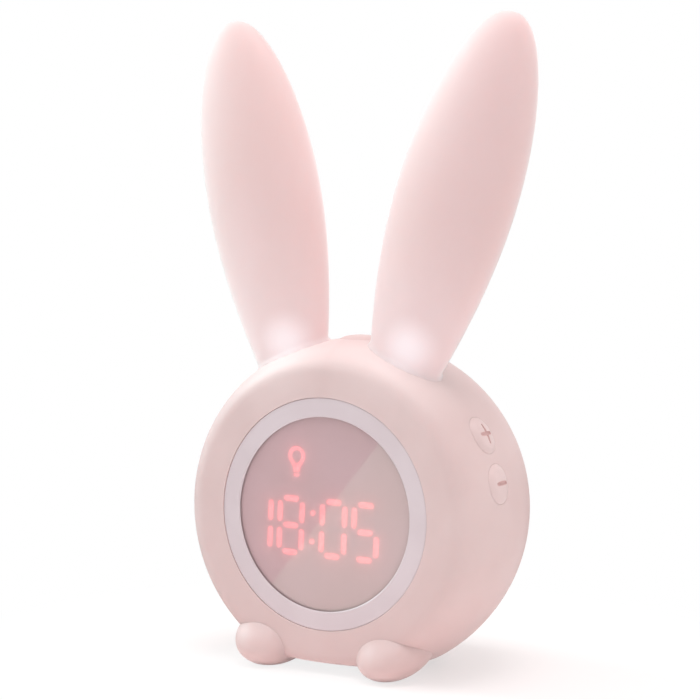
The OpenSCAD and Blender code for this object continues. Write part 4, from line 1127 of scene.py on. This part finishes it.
# %% Rest pad
PAD_L, PAD_W, PAD_BACK = 26.0, 10.0, 14.0
rings = []
for grow, z in ((-0.1, UNDER_Z + 0.75), (-0.1, UNDER_Z + 0.2), (-0.1, -AXIS_H + 0.8),
                (-0.2, -AXIS_H + 0.4), (-0.45, -AXIS_H + 0.12), (-0.9, -AXIS_H)):
    rings.append(in_row(lying(slot_ring(PAD_L, PAD_W, grow) + (0, PAD_BACK), z)))
seat(barrel("rest_pad", rings, [pad_finish]), "housing", "pad_rubber", "rear_foot_pad")

# %% [markdown]
# ## What is inside
# The boards, the lamps, the loudspeaker, the battery and the light pieces keep their CAD
# shapes, because those are right, and get finishes of their own. Circuit boards have green
# lacquer over copper tracks, which a net of fine lines between cells suggests.

# %% Inner finishes
board_finish = Finish("circuit_board", Roughness=0.35, Specular_IOR_Level=0.5)
tracks = board_finish.node("ShaderNodeTexVoronoi", {"feature": "DISTANCE_TO_EDGE"},
                           {"Vector": board_finish.place, "Scale": 420.0})
line = board_finish.steps(tracks, 0.03, 0.07)
board_finish.set(Base_Color=board_finish.mix(line, (0.08, 0.30, 0.13, 1), (0.02, 0.16, 0.07, 1)))
board_finish.bump(line, 0.03)

white_board_finish = mottled("white_board", (2.0, 2.0), (0.80, 0.80, 0.76, 1),
                             (0.88, 0.88, 0.85, 1), Roughness=0.4)
black_finish = moulded("black_plastic", (0.03, 0.03, 0.034, 1), (0.022, 0.022, 0.025, 1), 0.55)
unlit_finish = moulded("clear_diffuser", tone(222, 188, 192), tone(218, 186, 190), 0.6)
sleeve_finish = moulded("battery_sleeve", (0.10, 0.25, 0.55, 1), (0.08, 0.21, 0.50, 1), 0.35)
iron_finish = moulded("speaker_iron", (0.08, 0.08, 0.09, 1), (0.05, 0.05, 0.06, 1), 0.5)

lamp_finish = mottled("lamp_white", (1.0, 1.0), (0.95, 0.90, 0.75, 1), (0.9, 0.84, 0.66, 1),
                      Roughness=0.3, Emission_Strength=0.4)
lit_finish = mottled("lit_red", (1.6, 1.0), (1.0, 0.30, 0.30, 1), (1.0, 0.36, 0.36, 1),
                     Roughness=0.4, Emission_Strength=1.35)
for item, light, deep in ((lamp_finish, (1, 0.9, 0.7, 1), (1, 0.95, 0.85, 1)),
                          (lit_finish, (1.0, 0.17, 0.19, 1), (1.0, 0.22, 0.24, 1))):
    item.set(Emission_Color=item.mix(item.patches, light, deep))

DRESSED = [
    (board_finish, "display_board main_board charging_board key_board_right key_board_left"),
    (white_board_finish, "ear_light_board"),
    (unlit_finish, "unlit_segments"),
    (black_finish, "board_spacers control_chips battery_holder speaker_cone key_switches "
                   "plus_plunger minus_plunger mode_plunger alarm_plunger top_plunger"),
    (sleeve_finish, "battery_cell"),
    (iron_finish, "speaker_frame"),
    (steel_finish, "foot_screws board_screws key_board_screws light_board_screws "
                   "charging_board_screws battery_contacts charging_socket"),
    (lamp_finish, "display_leds ear_light_leds"),
    (lit_finish, "digit_segments bulb_sign"),
]
for finish, names in DRESSED:
    for name in names.split():
        NODES[name].data.materials.clear()
        NODES[name].data.materials.append(finish.material)
print("inner nodes dressed:", sum(len(names.split()) for _, names in DRESSED))
